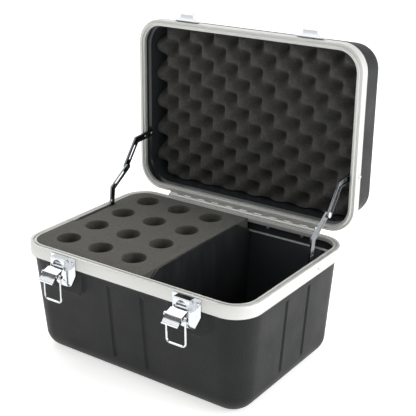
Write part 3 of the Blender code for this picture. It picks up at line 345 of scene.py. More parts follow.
@made_once
def moulded_abs(name, colour, grain):
    # ABS moulded in an etched tool: small rounded cells that break the light into a soft dull sheen.
    made, tree, shader = start_material(name, colour, 0.5, 0)
    shader.inputs["Specular IOR Level"].default_value = 0.25
    place = object_place(tree)
    # A grain like this is well under 1 mm, too fine for the render, so its cells are drawn larger.
    pebbles = cells(tree, place, 1 / grain, feature="SMOOTH_F1")
    raised(tree, shader, mixed(tree, 0.35, pebbles, noise(tree, place, 2 / grain, 2.0)), 1.0, 0.0005)
    coat(tree, shader, shades(tree, pebbles, colour, 1.7, 0.5),
         spread(tree, noise(tree, place, 22.0, 3.0), 0.44, 0.56))
    return made


@made_once
def smooth_abs(name, colour):
    # The inner side of an ABS moulding, pressed by a plain core: dark, a little glossy, with flow marks.
    made, tree, shader = start_material(name, colour, 0.15, 0)
    flow = noise(tree, object_place(tree), 14.0, 4.0)
    coat(tree, shader, shades(tree, flow, colour, 0.9, 1.15), spread(tree, flow, 0.12, 0.2))
    raised(tree, shader, flow, 0.2, 0.0002)
    return made


@made_once
def burnished_abs(name, colour):
    # The narrow ledge where the wall steps in under the rim. Its pale colour is a painted highlight that
    # stands in for the thin line of light the ledge catches, mottled by a noise.
    made, tree, shader = start_material(name, colour, 0.25, 0)
    highlight_mottle = noise(tree, object_place(tree), 60.0, 3.0)
    coat(tree, shader, shades(tree, highlight_mottle, colour, 0.6, 1.3), spread(tree, highlight_mottle, 0.18, 0.34))
    return made


@made_once
def extruded_aluminium(name, colour):
    # Anodised aluminium extrusion: pale and satin, with fine die lines along the section. The oxide scatters
    # light as well as mirroring it, so only about half of it is drawn as metal.
    made, tree, shader = start_material(name, colour, 0.55, 0.55)
    place = add(tree, "ShaderNodeUVMap", uv_map="extrusion").outputs["UV"]
    # Die lines are 0.05 to 0.2 mm apart; these are 0.45 mm, the finest that shows.
    lines = noise(tree, stretched(tree, place, 5.0, 2200.0, 1.0), 1.0, 2.0)
    patches = noise(tree, stretched(tree, place, 9.0, 120.0, 1.0), 1.0, 2.0)
    coat(tree, shader, shades(tree, patches, colour, 0.93, 1.05), spread(tree, lines, 0.48, 0.64))
    raised(tree, shader, lines, 0.35, 0.00003)
    return made


@made_once
def rolled_aluminium(name, colour):
    # Rolled aluminium sheet of the hinge: satin, with rolling lines along its length, and an oxide that
    # scatters like that of the rims.
    made, tree, shader = start_material(name, colour, 0.42, 0.6)
    lines = noise(tree, stretched(tree, object_place(tree), 8.0, 1800.0, 1800.0), 1.0, 2.0)
    coat(tree, shader, shades(tree, lines, colour, 0.9, 1.02), spread(tree, lines, 0.34, 0.5))
    raised(tree, shader, lines, 0.35, 0.00003)
    return made


@made_once
def plated_steel(name, colour, low, high, wobble):
    # Plated pressed steel: a mirror that the press leaves slightly wavy, with faint handling smears.
    made, tree, shader = start_material(name, colour, low, 1)
    place = object_place(tree)
    smears = noise(tree, place, 130.0, 3.0)
    coat(tree, shader, shades(tree, smears, colour, 0.9, 1.04), spread(tree, smears, low, high))
    raised(tree, shader, noise(tree, place, 95.0, 1.0), 0.6, wobble)
    return made


@made_once
def cut_foam(name, colour, cell):
    # Open-cell polyether foam with cut faces: no gloss, and tiny dark pores between lighter struts.
    made, tree, shader = start_material(name, colour, 0.95, 0)
    shader.inputs["Specular IOR Level"].default_value = 0.15
    shader.inputs["Sheen Weight"].default_value = 0.12
    shader.inputs["Sheen Roughness"].default_value = 0.6
    place = object_place(tree)
    # Real cells are 0.5 to 0.8 mm; they are drawn coarser so that the render shows a grain.
    pores = mixed(tree, 0.45, cells(tree, place, 1 / cell), noise(tree, place, 160.0, 3.0))
    coat(tree, shader, shades(tree, pores, colour, 0.45, 1.5))
    raised(tree, shader, pores, 0.9, 0.0004)
    return made


@made_once
def black_board(name, colour):
    # A laminated black board: a low even gloss with faint scuffs from what is dropped beside it.
    made, tree, shader = start_material(name, colour, 0.4, 0)
    scuffs = noise(tree, stretched(tree, object_place(tree), 40.0, 40.0, 12.0), 1.0, 6.0, Distortion=0.4)
    coat(tree, shader, shades(tree, scuffs, colour, 0.85, 1.3), spread(tree, scuffs, 0.32, 0.52))
    return made


@made_once
def grip_rubber(name, colour):
    # Moulded thermoplastic grip: matt, with a fine pebbled touch.
    made, tree, shader = start_material(name, colour, 0.6, 0)
    pebbles = cells(tree, object_place(tree), 900.0, feature="SMOOTH_F1")
    coat(tree, shader, shades(tree, pebbles, colour, 1.2, 0.8))
    raised(tree, shader, pebbles, 0.7, 0.0001)
    return made


@made_once
def studio_floor(name, colour):
    # Seamless studio paper: white, flat and faintly mottled.
    made, tree, shader = start_material(name, colour, 0.9, 0)
    tint = shades(tree, noise(tree, object_place(tree), 3.0, 2.0), colour, 0.99, 1.0)
    coat(tree, shader, tint)
    # The paper is lit from below as well, like a light table, so that it stays white out to the horizon.
    tree.links.new(tint, shader.inputs["Emission Color"])
    shader.inputs["Emission Strength"].default_value = FLOOR_GLOW
    return made


def finishes():
    """The case's materials, named for their real finishes."""
    colours = bpy.context.scene.mic_case_colours
    sizes = bpy.context.scene.mic_case_sizes
    return {
        "shell": moulded_abs("charcoal_grained_abs", tuple(colours.shell), sizes.grain),
        "lining": smooth_abs("black_smooth_abs", tuple(colours.lining)),
        # The inner ledge's pale colour is a painted highlight, a line of light
        "ledge": burnished_abs("burnished_abs_ledge", tuple(colours.ledge)),
        "rim": extruded_aluminium("anodised_aluminium_extrusion", tuple(colours.rim)),
        "hinge": rolled_aluminium("rolled_aluminium_sheet", tuple(colours.rim)),
        "chrome": plated_steel("bright_chromed_steel", tuple(colours.chrome), 0.05, 0.12, 0.0001),
        # The stays' steel colour is partly a darker plating and partly a painted dark reflection
        "steel": plated_steel("dark_plated_steel", tuple(colours.steel), 0.08, 0.16, 0.0001),
        "foam": cut_foam("grey_cut_foam", tuple(colours.foam), 0.0021),
        "egg_foam": cut_foam("dark_egg_crate_foam", tuple(colours.egg_foam), 0.0024),
        "panel": black_board("black_laminated_board", tuple(colours.panel)),
        "grip": grip_rubber("black_pebbled_grip", tuple(colours.grip)),
    }


def shown(name, data):
    """A new object of the scene that holds the data."""
    item = bpy.data.objects.new(name, data)
    bpy.context.scene.collection.objects.link(item)
    return item


def turned_out(mesh, recalculated):
    """Turns a closed mesh's faces outwards, each by itself first where they don't agree yet."""
    shape = bmesh.new()
    shape.from_mesh(mesh)
    if recalculated:
        bmesh.ops.recalc_face_normals(shape, faces=shape.faces)
    if shape.calc_volume(signed=True) < 0:
        bmesh.ops.reverse_faces(shape, faces=shape.faces)
    shape.to_mesh(mesh)
    shape.free()


def mesh_piece(name, points, faces, finish, place=None):
    """A closed piece with outward faces, smooth but for its sharp edges, its place put in its mesh."""
    mesh = bpy.data.meshes.new(name)
    mesh.from_pydata([tuple(point) for point in points], [], faces)
    turned_out(mesh, True)
    if place:
        mesh.transform(place)
    item = shown(name, mesh)
    for one in finish if isinstance(finish, (list, tuple)) else [finish]:
        mesh.materials.append(one)
    smoothed(item)
    return item


def smoothed(item):
    item.data.shade_smooth()
    item.data.set_sharp_from_angle(angle=SMOOTH_ANGLE)


def settled(item):
    """Turns what a piece's modifiers make into its own plain mesh."""
    bpy.context.view_layer.update()
    view = bpy.context.evaluated_depsgraph_get()
    mesh = bpy.data.meshes.new_from_object(item.evaluated_get(view), depsgraph=view)
    item.modifiers.clear()
    spare = item.data
    item.data = mesh
    bpy.data.meshes.remove(spare)
    return item


def dress(item, body, slot_name, *nodes):
    """Hands a finished piece over to the frame: its body and the solids that it stands for; the name of its
    finish is not used.
    """
    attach(item, body)
    if nodes:
        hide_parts(*nodes)
    return item


def arc(centre, radius, start, end, steps):
    return [(centre[0] + radius * cos(start + (end - start) * step / steps),
             centre[1] + radius * sin(start + (end - start) * step / steps)) for step in range(steps + 1)]


def lofted(rings, closed_ends=True):
    """The points and faces of rings of equal length joined in order."""
    count = len(rings[0])
    points = [point for ring in rings for point in ring]
    faces = []
    for low in range(0, len(points) - count, count):
        for index in range(count):
            beside = (index + 1) % count
            faces.append((low + index, low + beside, low + count + beside, low + count + index))
    if closed_ends:
        faces.append(tuple(range(count)))
        faces.append(tuple(range(len(points) - count, len(points))))
    return points, faces


def prism(name, outline, axis, low, high, finish, place=None):
    """An outline drawn out along X, Y or Z; the outline holds the other two axes in order."""
    rings = []
    for level in (low, high):
        ring = []
        for pair in outline:
            values = list(pair)
            values.insert("XYZ".index(axis), level)
            ring.append(tuple(values))
        rings.append(ring)
    return mesh_piece(name, *lofted(rings), finish, place)


def softened_outline(outline, radius, steps=3):
    """An outline whose corners are rounded, as a die or a press leaves them."""
    rounded = []
    for index, corner in enumerate(outline):
        point = Vector(corner)
        back = Vector(outline[index - 1]) - point
        ahead = Vector(outline[(index + 1) % len(outline)]) - point
        reach = min(radius, back.length * 0.45, ahead.length * 0.45)
        start = point + back.normalized() * reach
        end = point + ahead.normalized() * reach
        for step in range(steps + 1):
            share = step / steps
            bend = start * (1 - share) ** 2 + point * 2 * share * (1 - share) + end * share ** 2
            rounded.append(tuple(bend))
    return rounded


def strip_outline(path, thickness):
    """The outline of a bent strip of sheet, from the line along its middle."""
    left, right = [], []
    for index, (u, v) in enumerate(path):
        back = path[max(index - 1, 0)]
        ahead = path[min(index + 1, len(path) - 1)]
        if 0 < index < len(path) - 1:
            first = atan2(v - back[1], u - back[0])
            second = atan2(ahead[1] - v, ahead[0] - u)
            turn = (second - first + pi) % (2 * pi) - pi
            heading = first + turn / 2
            reach = thickness / 2 / cos(turn / 2)
        else:
            heading = atan2(ahead[1] - back[1], ahead[0] - back[0])
            reach = thickness / 2
        left.append((u - reach * sin(heading), v + reach * cos(heading)))
        right.append((u + reach * sin(heading), v - reach * cos(heading)))
    return left + right[::-1]


def softened(node, finish, body, slot_name, width, segments=2):
    """A solid's copy with its points merged and its edges rounded, which stands for the solid."""
    shape = bmesh.new()
    shape.from_mesh(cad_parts[node].data)
    bmesh.ops.remove_doubles(shape, verts=shape.verts, dist=MERGE_REACH)
    bmesh.ops.dissolve_limit(shape, angle_limit=FLAT_ANGLE, verts=shape.verts, edges=shape.edges)
    mesh = bpy.data.meshes.new(node)
    shape.to_mesh(mesh)
    shape.free()
    mesh.materials.append(finish)
    item = shown(f"{node}_finished", mesh)
    edge = item.modifiers.new("rounded_edges", "BEVEL")
    edge.width = width
    edge.segments = segments
    edge.limit_method = "ANGLE"
    edge.angle_limit = ROUNDED_ANGLE
    settled(item)
    smoothed(item)
    # The flats keep flat reflections, and only the rounded edges carry the turn.
    flats = item.modifiers.new("flat_reflections", "WEIGHTED_NORMAL")
    flats.keep_sharp = True
    flats.weight = FLAT_WEIGHT
    settled(item)
    return dress(item, body, slot_name, node)


def softened_side(label, slot_name, width, *rows):
    """Finishes one side's solids: rows of a node, its finish and its body, with a brace for the side."""
    for node, finish, body in rows:
        softened(node.format(label), finish, body.format(label), slot_name, width)


def shell_levels(collar, inset, corner, draft, fillet, height, wall):
    """The (inset, corner radius, depth) of each level of a shell's outside, or of its inside for a wall."""
    foot = height - fillet
    top_corner = RIM_CORNER - COLLAR_INSET
    start = collar + JOGGLE_DROP
    drawn_in = draft * (foot - start)
    levels = [(COLLAR_INSET, top_corner, COLLAR_TOP), (COLLAR_INSET, top_corner, collar),
              (inset, corner, start), (inset + drawn_in, corner - drawn_in, foot)]
    levels = [(place + wall, radius - wall, depth) for place, radius, depth in levels]
    place, radius, depth = levels[-1]
    bend = fillet - wall
    for step in range(1, FILLET_STEPS + 1):
        angle = step * pi / 2 / FILLET_STEPS
        drawn = bend * (1 - cos(angle))
        levels.append((place + drawn, radius - drawn, depth + bend * sin(angle)))
    return levels


def base_levels(wall):
    return shell_levels(RIM_BAND + COLLAR_LENGTH, BASE_INSET, BASE_CORNER, BASE_DRAFT_SHARE, BASE_FILLET,
                        BASE_HEIGHT, wall)


def lid_levels(wall):
    return shell_levels(LID_RIM_BAND + COLLAR_LENGTH, LID_INSET, LID_CORNER, LID_DRAFT_SHARE, LID_FILLET,
                        LID_HEIGHT, wall)


def between(levels, depth):
    """The inset and corner radius of a shell's surface at a depth."""
    for (near_inset, near_radius, near), (far_inset, far_radius, far) in zip(levels, levels[1:]):
        if near <= depth <= far and far > near:
            share = (depth - near) / (far - near)
            return (near_inset + share * (far_inset - near_inset),
                    near_radius + share * (far_radius - near_radius))
    return levels[-1][:2]


def eased(value):
    """A share from 0 to 1 with soft ends."""
    value = max(0, min(1, value))
    return value * value * (3 - 2 * value)


def flute_relief(across, depth):
    """How far a pressed groove sinks the wall."""
    foot = BASE_HEIGHT - BASE_FILLET
    ends = eased((depth - FLUTE_TOP) / FLUTE_RUNOUT) * eased((foot - depth) / FLUTE_RUNOUT)
    off = abs(abs(across) - FLUTE_PLACE)
    return -FLUTE_DEPTH * ends * eased((FLUTE_HALF_WIDTH - off) / (FLUTE_HALF_WIDTH - FLUTE_FLOOR))


def pad_relief(across, depth, wall_inset):
    """How far the raised seat behind a latch stands out from the wall."""
    if depth < RIM_BAND + GAP / 2:
        return 0
    off_x = abs(abs(across) - LATCH_X) - (PAD_HALF_WIDTH - PAD_CORNER)
    off_z = depth - (PAD_BOTTOM - PAD_CORNER)
    outside = hypot(max(off_x, 0), max(off_z, 0)) + min(max(off_x, off_z), 0) - PAD_CORNER
    share = max(0, min(1, -outside / PAD_BEVEL))
    return (wall_inset - GAP) * (0.5 * share + 0.5 * eased(share))


def spaced(start, end, step):
    count = max(1, ceil(abs(end - start) / step))
    return [start + (end - start) * index / count for index in range(count + 1)]


def stations(half, spans, coarse):
    """Places along a straight side from -half to half, close together inside the given spans."""
    marks = {-half, half}
    for low, high, step in spans:
        marks.update(spaced(max(low, -half), min(high, half), step))
    places = sorted(marks)
    filled = [places[0]]
    for place in places[1:]:
        filled += spaced(filled[-1], place, coarse)[1:]
    return filled


def ring_round(inset, radius, z, sides, relief=None):
    """One level of a shell: four corner arcs and the stations of the sides between them."""
    ring = []
    half_x, half_y = HALF_W - inset, HALF_D - inset
    signs = ((1, 1), (-1, 1), (-1, -1), (1, -1))
    for quarter, (side_x, side_y) in enumerate(signs):
        centre = (side_x * (half_x - radius), side_y * (half_y - radius))
        start = quarter * pi / 2
        ring += [(*pair, z) for pair in arc(centre, radius, start, start + pi / 2, CORNER_STEPS)]
        outward = Vector(((0, 1), (-1, 0), (0, -1), (1, 0))[quarter])
        along = Vector(((-1, 0), (0, -1), (1, 0), (0, 1))[quarter])
        straight = (half_x if quarter % 2 == 0 else half_y) - radius
        face = half_y if quarter % 2 == 0 else half_x
        places = sides[quarter % 2]
        for place in places[1:-1]:
            across = place * straight / places[-1]
            out = face + (relief(quarter, across) if relief else 0)
            point = outward * out + along * across
            ring.append((point.x, point.y, z))
    return ring


def build_shell(name, levels_of, side, sides, depths, relief, place, finish):
    """A shell's outer levels from its floor up, over its edge, and down the plain inner levels."""
    outer, inner = levels_of(0), levels_of(WALL)
    rows = [(*between(outer, depth), depth) for depth in depths] + outer[4:]
    rings = []
    for inset, radius, depth in reversed(rows):
        lift = (lambda quarter, across, d=depth, i=inset: relief(quarter, across, d, i)) if relief else None
        rings.append(ring_round(inset, radius, side * depth, sides, lift))
    outer_count = len(rings)
    rings += [ring_round(inset, radius, side * depth, sides) for inset, radius, depth in inner]
    points, faces = lofted(rings)
    item = mesh_piece(name, points, faces, finish, place)
    count = len(rings[0])
    first_inner = (outer_count - 1) * count
    ledge = (outer_count + 1) * count
    for index, face in enumerate(item.data.polygons):
        # The ledge band under the rim gets the painted highlight's pale material
        if ledge <= index < ledge + count and len(finish) > 2:
            face.material_index = 2
        elif first_inner <= index < len(faces) - 2 or index == len(faces) - 1:
            face.material_index = 1
    return item


def rim_piece(name, section, finish, place):
    """A rim's section swept once round the case, with a map of metres along and across it."""
    outline = softened_outline(section, RIM_EDGE)
    lengths = [0.0]
    for here, ahead in zip(outline, outline[1:] + outline[:1]):
        lengths.append(lengths[-1] + hypot(ahead[0] - here[0], ahead[1] - here[1]))
    sides = [[step / half for step in range(-half, half + 1)] for half in RIM_HALF_SPANS]
    past_seam = CORNER_STEPS + 1 + RIM_HALF_SPANS[0]
    lines = []
    for inset, z in outline:
        ring = ring_round(inset, max(RIM_CORNER - inset, 0.0001), z, sides)
        back = HALF_D - inset
        lines.append([(-RIM_SEAM / 2, back, z), *ring[past_seam:], *ring[:past_seam - 1],
                      (RIM_SEAM / 2, back, z)])
    rings = list(zip(*lines))
    points, faces = lofted(rings)
    mesh = bpy.data.meshes.new(name)
    mesh.from_pydata(points, [], faces)
    run = [0.0]
    for here, ahead in zip(lines[0], lines[0][1:]):
        run.append(run[-1] + hypot(ahead[0] - here[0], ahead[1] - here[1]))
    count = len(outline)
    chart = mesh.uv_layers.new(name="extrusion")
    for face in mesh.polygons:
        wraps = {index % count for index in face.vertices} >= {0, count - 1}
        for loop in face.loop_indices:
            ring, corner = divmod(mesh.loops[loop].vertex_index, count)
            across = lengths[count] if wraps and corner == 0 and len(face.vertices) == 4 else lengths[corner]
            chart.data[loop].uv = (run[ring], across)
    turned_out(mesh, False)
    mesh.transform(place)
    item = shown(name, mesh)
    mesh.materials.append(finish)
    smoothed(item)
    return item


def node_tree(name, inputs):
    """A new geometry tree with one geometry input, the named inputs after it, and one geometry output."""
    tree = bpy.data.node_groups.new(name, "GeometryNodeTree")
    tree.interface.new_socket(name="Geometry", in_out="OUTPUT", socket_type="NodeSocketGeometry")
    tree.interface.new_socket(name="Geometry", in_out="INPUT", socket_type="NodeSocketGeometry")
    for label, kind, value in inputs:
        socket = tree.interface.new_socket(name=label, in_out="INPUT", socket_type=kind)
        socket.default_value = value
    return tree, add(tree, "NodeGroupInput"), add(tree, "NodeGroupOutput")


def maths(tree, operation, *values):
    """The result of one sum on numbers or sockets."""
    return add(tree, "ShaderNodeMath", dict(enumerate(values)), operation=operation).outputs[0]


def finish_tree(tree, geometry, finish, result):
    """Turns a tree's geometry into real faces of one material, and hands them out."""
    real = add(tree, "GeometryNodeRealizeInstances", {"Geometry": geometry})
    coated = add(tree, "GeometryNodeSetMaterial", {"Geometry": real.outputs["Geometry"], "Material": finish})
    tree.links.new(coated.outputs["Geometry"], result.inputs["Geometry"])
    return tree


def run_tree(item, tree, **values):
    """Gives a piece a geometry tree with its inputs set, and settles the result."""
    step = item.modifiers.new(tree.name, "NODES")
    step.node_group = tree
    for socket in tree.interface.items_tree:
        key = socket.name.lower().replace(" ", "_")
        if socket.in_out == "INPUT" and key in values:
            step[socket.identifier] = values[key]
    return settled(item)


def rivet_tree(finish):
    """Puts a domed rivet head at each point of a mesh, facing the way that the point's attribute says."""
    tree, given, result = node_tree("rivet_heads", (("Head Radius", "NodeSocketFloat", 0.0029),
                                                    ("Head Rise", "NodeSocketFloat", 0.0011)))
    ball = add(tree, "GeometryNodeMeshUVSphere", {"Segments": 20, "Rings": 12, "Radius": 1.0})
    radius = given.outputs["Head Radius"]
    size = add(tree, "ShaderNodeCombineXYZ", {"X": radius, "Y": radius, "Z": given.outputs["Head Rise"]})
    head = add(tree, "GeometryNodeTransform", {"Geometry": ball.outputs["Mesh"], "Scale": size.outputs[0]})
    smooth = add(tree, "GeometryNodeSetShadeSmooth", {"Geometry": head.outputs["Geometry"]})
    facing = add(tree, "GeometryNodeInputNamedAttribute", {"Name": "facing"}, data_type="FLOAT_VECTOR")
    turn = add(tree, "FunctionNodeAlignRotationToVector", {"Vector": facing.outputs["Attribute"]}, axis="Z")
    heads = add(tree, "GeometryNodeInstanceOnPoints", {"Points": given.outputs["Geometry"],
                                                       "Instance": smooth.outputs["Geometry"],
                                                       "Rotation": turn.outputs["Rotation"]})
    return finish_tree(tree, heads.outputs["Instances"], finish, result)


def rivets(name, spots, body, slot_name, finish, place, radius, rise):
    """A group of rivet heads on one body; each spot is a point and the way that it faces, lid shut."""
    mesh = bpy.data.meshes.new(name)
    mesh.from_pydata([place @ Vector(point) for point, _ in spots], [], [])
    facing = mesh.attributes.new("facing", "FLOAT_VECTOR", "POINT")
    for index, (_, way) in enumerate(spots):
        facing.data[index].vector = place.to_3x3() @ Vector(way)
    item = shown(name, mesh)
    label = "rivet_heads_" + finish.name
    tree = bpy.data.node_groups.get(label) or rivet_tree(finish)
    tree.name = label
    run_tree(item, tree, head_radius=radius, head_rise=rise)
    return dress(item, body, slot_name)


class BuildShells(bpy.types.Operator):
    """Moulds the base's and the lid's shells with their corner radii, pressed grooves and latch seats"""

    bl_idname = "mic_case.shells"
    bl_label = "Moulded shells"

    def execute(self, context):
        coats = finishes()
        reach = FLUTE_HALF_WIDTH + FLUTE_MARGIN
        groove = [(sign * FLUTE_PLACE - reach, sign * FLUTE_PLACE + reach, FLUTE_STEP) for sign in (-1, 1)]
        reach = PAD_HALF_WIDTH + PAD_MARGIN
        seat = [(sign * LATCH_X - reach, sign * LATCH_X + reach, PAD_STEP) for sign in (-1, 1)]
        sides = (stations(HALF_W - BASE_INSET - BASE_CORNER, groove + seat, SIDE_STEP),
                 stations(HALF_D - BASE_INSET - BASE_CORNER, groove, SIDE_STEP))
        collar = RIM_BAND + COLLAR_LENGTH
        foot = BASE_HEIGHT - BASE_FILLET
        depths = [COLLAR_TOP, RIM_BAND, RIM_BAND + GAP, collar]
        depths += spaced(collar + JOGGLE_DROP, PAD_BOTTOM + PAD_MARGIN, PAD_LEVEL_STEP)
        depths += spaced(depths[-1], foot - FLUTE_RUNOUT, LEVEL_STEP)[1:]
        depths += spaced(depths[-1], foot, RUNOUT_LEVEL_STEP)[1:]

        def relief(quarter, across, depth, inset):
            out = flute_relief(across, depth) if depth > FLUTE_TOP else 0
            if quarter == 2:
                out += pad_relief(across, depth, inset)
            return out

        base = build_shell("base_shell_moulded", base_levels, -1, sides, depths, relief, BASE_PLACE,
                           [coats["shell"], coats["lining"], coats["ledge"]])
        dress(base, "base", "textured_black_abs", "base_shell")
        plain = [stations(half - LID_INSET - LID_CORNER, [], PLAIN_SIDE_STEP) for half in (HALF_W, HALF_D)]
        collar = LID_RIM_BAND + COLLAR_LENGTH
        depths = [COLLAR_TOP, LID_RIM_BAND, collar, collar + JOGGLE_DROP / 2]
        depths += spaced(collar + JOGGLE_DROP, LID_HEIGHT - LID_FILLET, LEVEL_STEP)
        lid = build_shell("lid_shell_moulded", lid_levels, 1, plain, depths, None, LID_TURN,
                          [coats["shell"], coats["lining"]])
        dress(lid, "lid", "textured_black_abs", "lid_shell")
        return {"FINISHED"}


class BuildRims(bpy.types.Operator):
    """Draws the two aluminium rims round the case, groove in the base's and tongue on the lid's"""

    bl_idname = "mic_case.rims"
    bl_label = "Aluminium rims"

    def execute(self, context):
        finish = finishes()["rim"]
        groove_end = GROOVE_START + GROOVE_WIDTH
        slot_end = COLLAR_INSET + WALL + GAP
        section = [(0, 0), (GROOVE_START, 0), (GROOVE_START, -GROOVE_DEPTH), (groove_end, -GROOVE_DEPTH),
                   (groove_end, 0), (RIM_WIDTH, 0), (RIM_WIDTH, -RIM_FLANGE), (slot_end, -RIM_FLANGE),
                   (slot_end, -RIM_SLOT_ROOF), (RIM_SKIN, -RIM_SLOT_ROOF), (RIM_SKIN, -RIM_BAND),
                   (0, -RIM_BAND)]
        base = rim_piece("base_rim_extrusion", section, finish, BASE_PLACE)
        dress(base, "base", "matt_aluminium", "base_rim")
        start, end = GROOVE_START + GAP, groove_end - GAP
        tip = GAP - GROOVE_DEPTH
        section = [(0, GAP), (start, GAP), (start, tip), (end, tip), (end, GAP), (RIM_WIDTH, GAP),
                   (RIM_WIDTH, RIM_FLANGE), (slot_end, RIM_FLANGE), (slot_end, RIM_SLOT_ROOF),
                   (RIM_SKIN, RIM_SLOT_ROOF), (RIM_SKIN, LID_RIM_BAND), (0, LID_RIM_BAND)]
        lid = rim_piece("lid_rim_extrusion", section, finish, LID_TURN)
        dress(lid, "lid", "matt_aluminium", "lid_rim")
        return {"FINISHED"}


def block_ring(inset, radius, z, pull=0.0):
    """The left part of the case's plan, drawn in by a pull on its straight right side too."""
    left = inset - HALF_W
    half = HALF_D - inset
    right = BLOCK_RIGHT - pull
    ring = [(right, half * (2 * step / BLOCK_RIGHT_STEPS - 1), z) for step in range(BLOCK_RIGHT_STEPS + 1)]
    ring += [(*pair, z) for pair in arc((left + radius, half - radius), radius, pi / 2, pi, CORNER_STEPS)]
    ring += [(*pair, z) for pair in arc((left + radius, radius - half), radius, pi, 3 * pi / 2, CORNER_STEPS)]
    return ring


def cut_away(item, tools):
    """Cuts closed tools out of a piece, and removes them."""
    for tool in tools:
        step = item.modifiers.new(tool.name, "BOOLEAN")
        step.operation = "DIFFERENCE"
        step.solver = "EXACT"
        step.object = tool
    settled(item)
    for tool in tools:
        spare = tool.data
        bpy.data.objects.remove(tool)
        bpy.data.meshes.remove(spare)
    return item


class BuildFoamBlock(bpy.types.Operator):
    """Cuts the grey foam block with its microphone holes, and the foam pad under it"""

    bl_idname = "mic_case.foam_block"
    bl_label = "Foam block"

    def execute(self, context):
        finish = finishes()["foam"]
        flare = context.scene.mic_case_sizes.hole_flare
        inside = base_levels(WALL)
        bottom = BASE_HEIGHT - BLOCK_RISE
        edge = RIM_WIDTH + GAP
        rings = []
        for step in range(BLOCK_EDGE_STEPS + 1):
            angle = step * pi / 2 / BLOCK_EDGE_STEPS
            pull = BLOCK_EDGE * (1 - sin(angle))
            rings.append(block_ring(edge + pull, RIM_CORNER - edge, BLOCK_EDGE * (cos(angle) - 1), pull))
        rings.append(block_ring(edge, RIM_CORNER - edge, -RIM_BAND))
        for depth in spaced(RIM_BAND + BLOCK_LEVEL_START, bottom, BLOCK_LEVEL_STEP):
            inset, radius = between(inside, depth)
            rings.append(block_ring(max(inset + GAP, edge), radius - GAP, -depth))
        block = mesh_piece("foam_block_cut", *lofted(rings), finish)
        tools = []
        profile = [(-bottom - HOLE_OVERRUN, HOLE_RADIUS)]
        profile += [(z, HOLE_RADIUS + flare * share) for z, share in HOLE_MOUTH]
        last = HOLE_SIDES - 1
        for column in range(HOLE_COLUMNS):
            for row in range(HOLE_ROWS):
                centre = (HOLES_CENTRE[0] + HOLE_PITCH * (column - (HOLE_COLUMNS - 1) / 2),
                          HOLES_CENTRE[1] + HOLE_PITCH * (row - (HOLE_ROWS - 1) / 2))
                bore = [[(*pair, z) for pair in arc(centre, radius, 0, 2 * pi * last / HOLE_SIDES, last)]
                        for z, radius in profile]
                tools.append(mesh_piece(f"hole_{column}_{row}", *lofted(bore), finish))
        low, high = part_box("stay_lower_L")
        near = high.x + SLIT_INNER_PLAY
        for name, far, (start, end, depth) in (("arm_slit", low.x - SLIT_OUTER_PLAY, ARM_SLIT),
                                               ("rivet_slit", SLIT_WALL, RIVET_SLIT),
                                               ("elbow_slit", SLIT_WALL, ELBOW_SLIT)):
            outline = [(far, start), (near, start), (near, end), (far, end)]
            tools.append(prism(name, outline, "Z", -depth, SLIT_OVERRUN, finish))
        cut_away(block, tools)
        block.data.transform(BASE_PLACE)
        smoothed(block)
        dress(block, "base", "grey_foam", "foam_block")
        rings = []
        top = BLOCK_RISE - GAP
        for rise in (top, BLOCK_RISE - FLOOR_PAD_EDGE, *FLOOR_PAD_RISES, WALL + GAP):
            inset, radius = between(inside, BASE_HEIGHT - rise)
            pull = FLOOR_PAD_PULL if rise == top else 0.0
            rings.append(block_ring(inset + GAP + pull, radius - GAP, rise - BASE_HEIGHT, pull))
        pad = mesh_piece("foam_floor_pad_cut", *lofted(rings), finish, BASE_PLACE)
        dress(pad, "base", "grey_foam", "foam_floor_pad")
        return {"FINISHED"}


def egg_crate_tree(finish):
    """Lifts the front of a foam sheet into rounded peaks in quincunx, with deep valleys between them."""
    tree, given, result = node_tree("egg_crate_relief", (("Pitch", "NodeSocketFloat", 0.047),
                                                         ("Relief", "NodeSocketFloat", 0.030),
                                                         ("Roundness", "NodeSocketFloat", 1.55),
                                                         ("Unevenness", "NodeSocketFloat", 0.0006)))
    place = add(tree, "GeometryNodeInputPosition").outputs[0]
    axes = add(tree, "ShaderNodeSeparateXYZ", {"Vector": place})
    turns = maths(tree, "DIVIDE", 2 * pi, given.outputs["Pitch"])
    waves = [maths(tree, "COSINE", maths(tree, "MULTIPLY", axes.outputs[axis], turns)) for axis in ("X", "Y")]
    # Cut lobes are rounder than a plain wave: broad on top, with narrow valleys.
    low = maths(tree, "MULTIPLY_ADD", maths(tree, "MULTIPLY", *waves), -0.5, 0.5)
    lobe = maths(tree, "MULTIPLY_ADD", maths(tree, "POWER", low, given.outputs["Roundness"]), -2.0, 1.0)
    lift = maths(tree, "MULTIPLY", lobe, maths(tree, "MULTIPLY", given.outputs["Relief"], -0.5))
    rough = add(tree, "ShaderNodeTexNoise", {"Vector": place, "Scale": 55.0, "Detail": 2.0}).outputs[0]
    uneven = maths(tree, "MULTIPLY", maths(tree, "SUBTRACT", rough, 0.5), given.outputs["Unevenness"])
    front = add(tree, "GeometryNodeInputNamedAttribute", {"Name": "front"}, data_type="FLOAT")
    kept = maths(tree, "MULTIPLY", maths(tree, "ADD", lift, uneven), front.outputs["Attribute"])
    shift = add(tree, "ShaderNodeCombineXYZ", {"Z": kept}).outputs[0]
    moved = add(tree, "GeometryNodeSetPosition", {"Geometry": given.outputs["Geometry"], "Offset": shift})
    return finish_tree(tree, moved.outputs["Geometry"], finish, result)


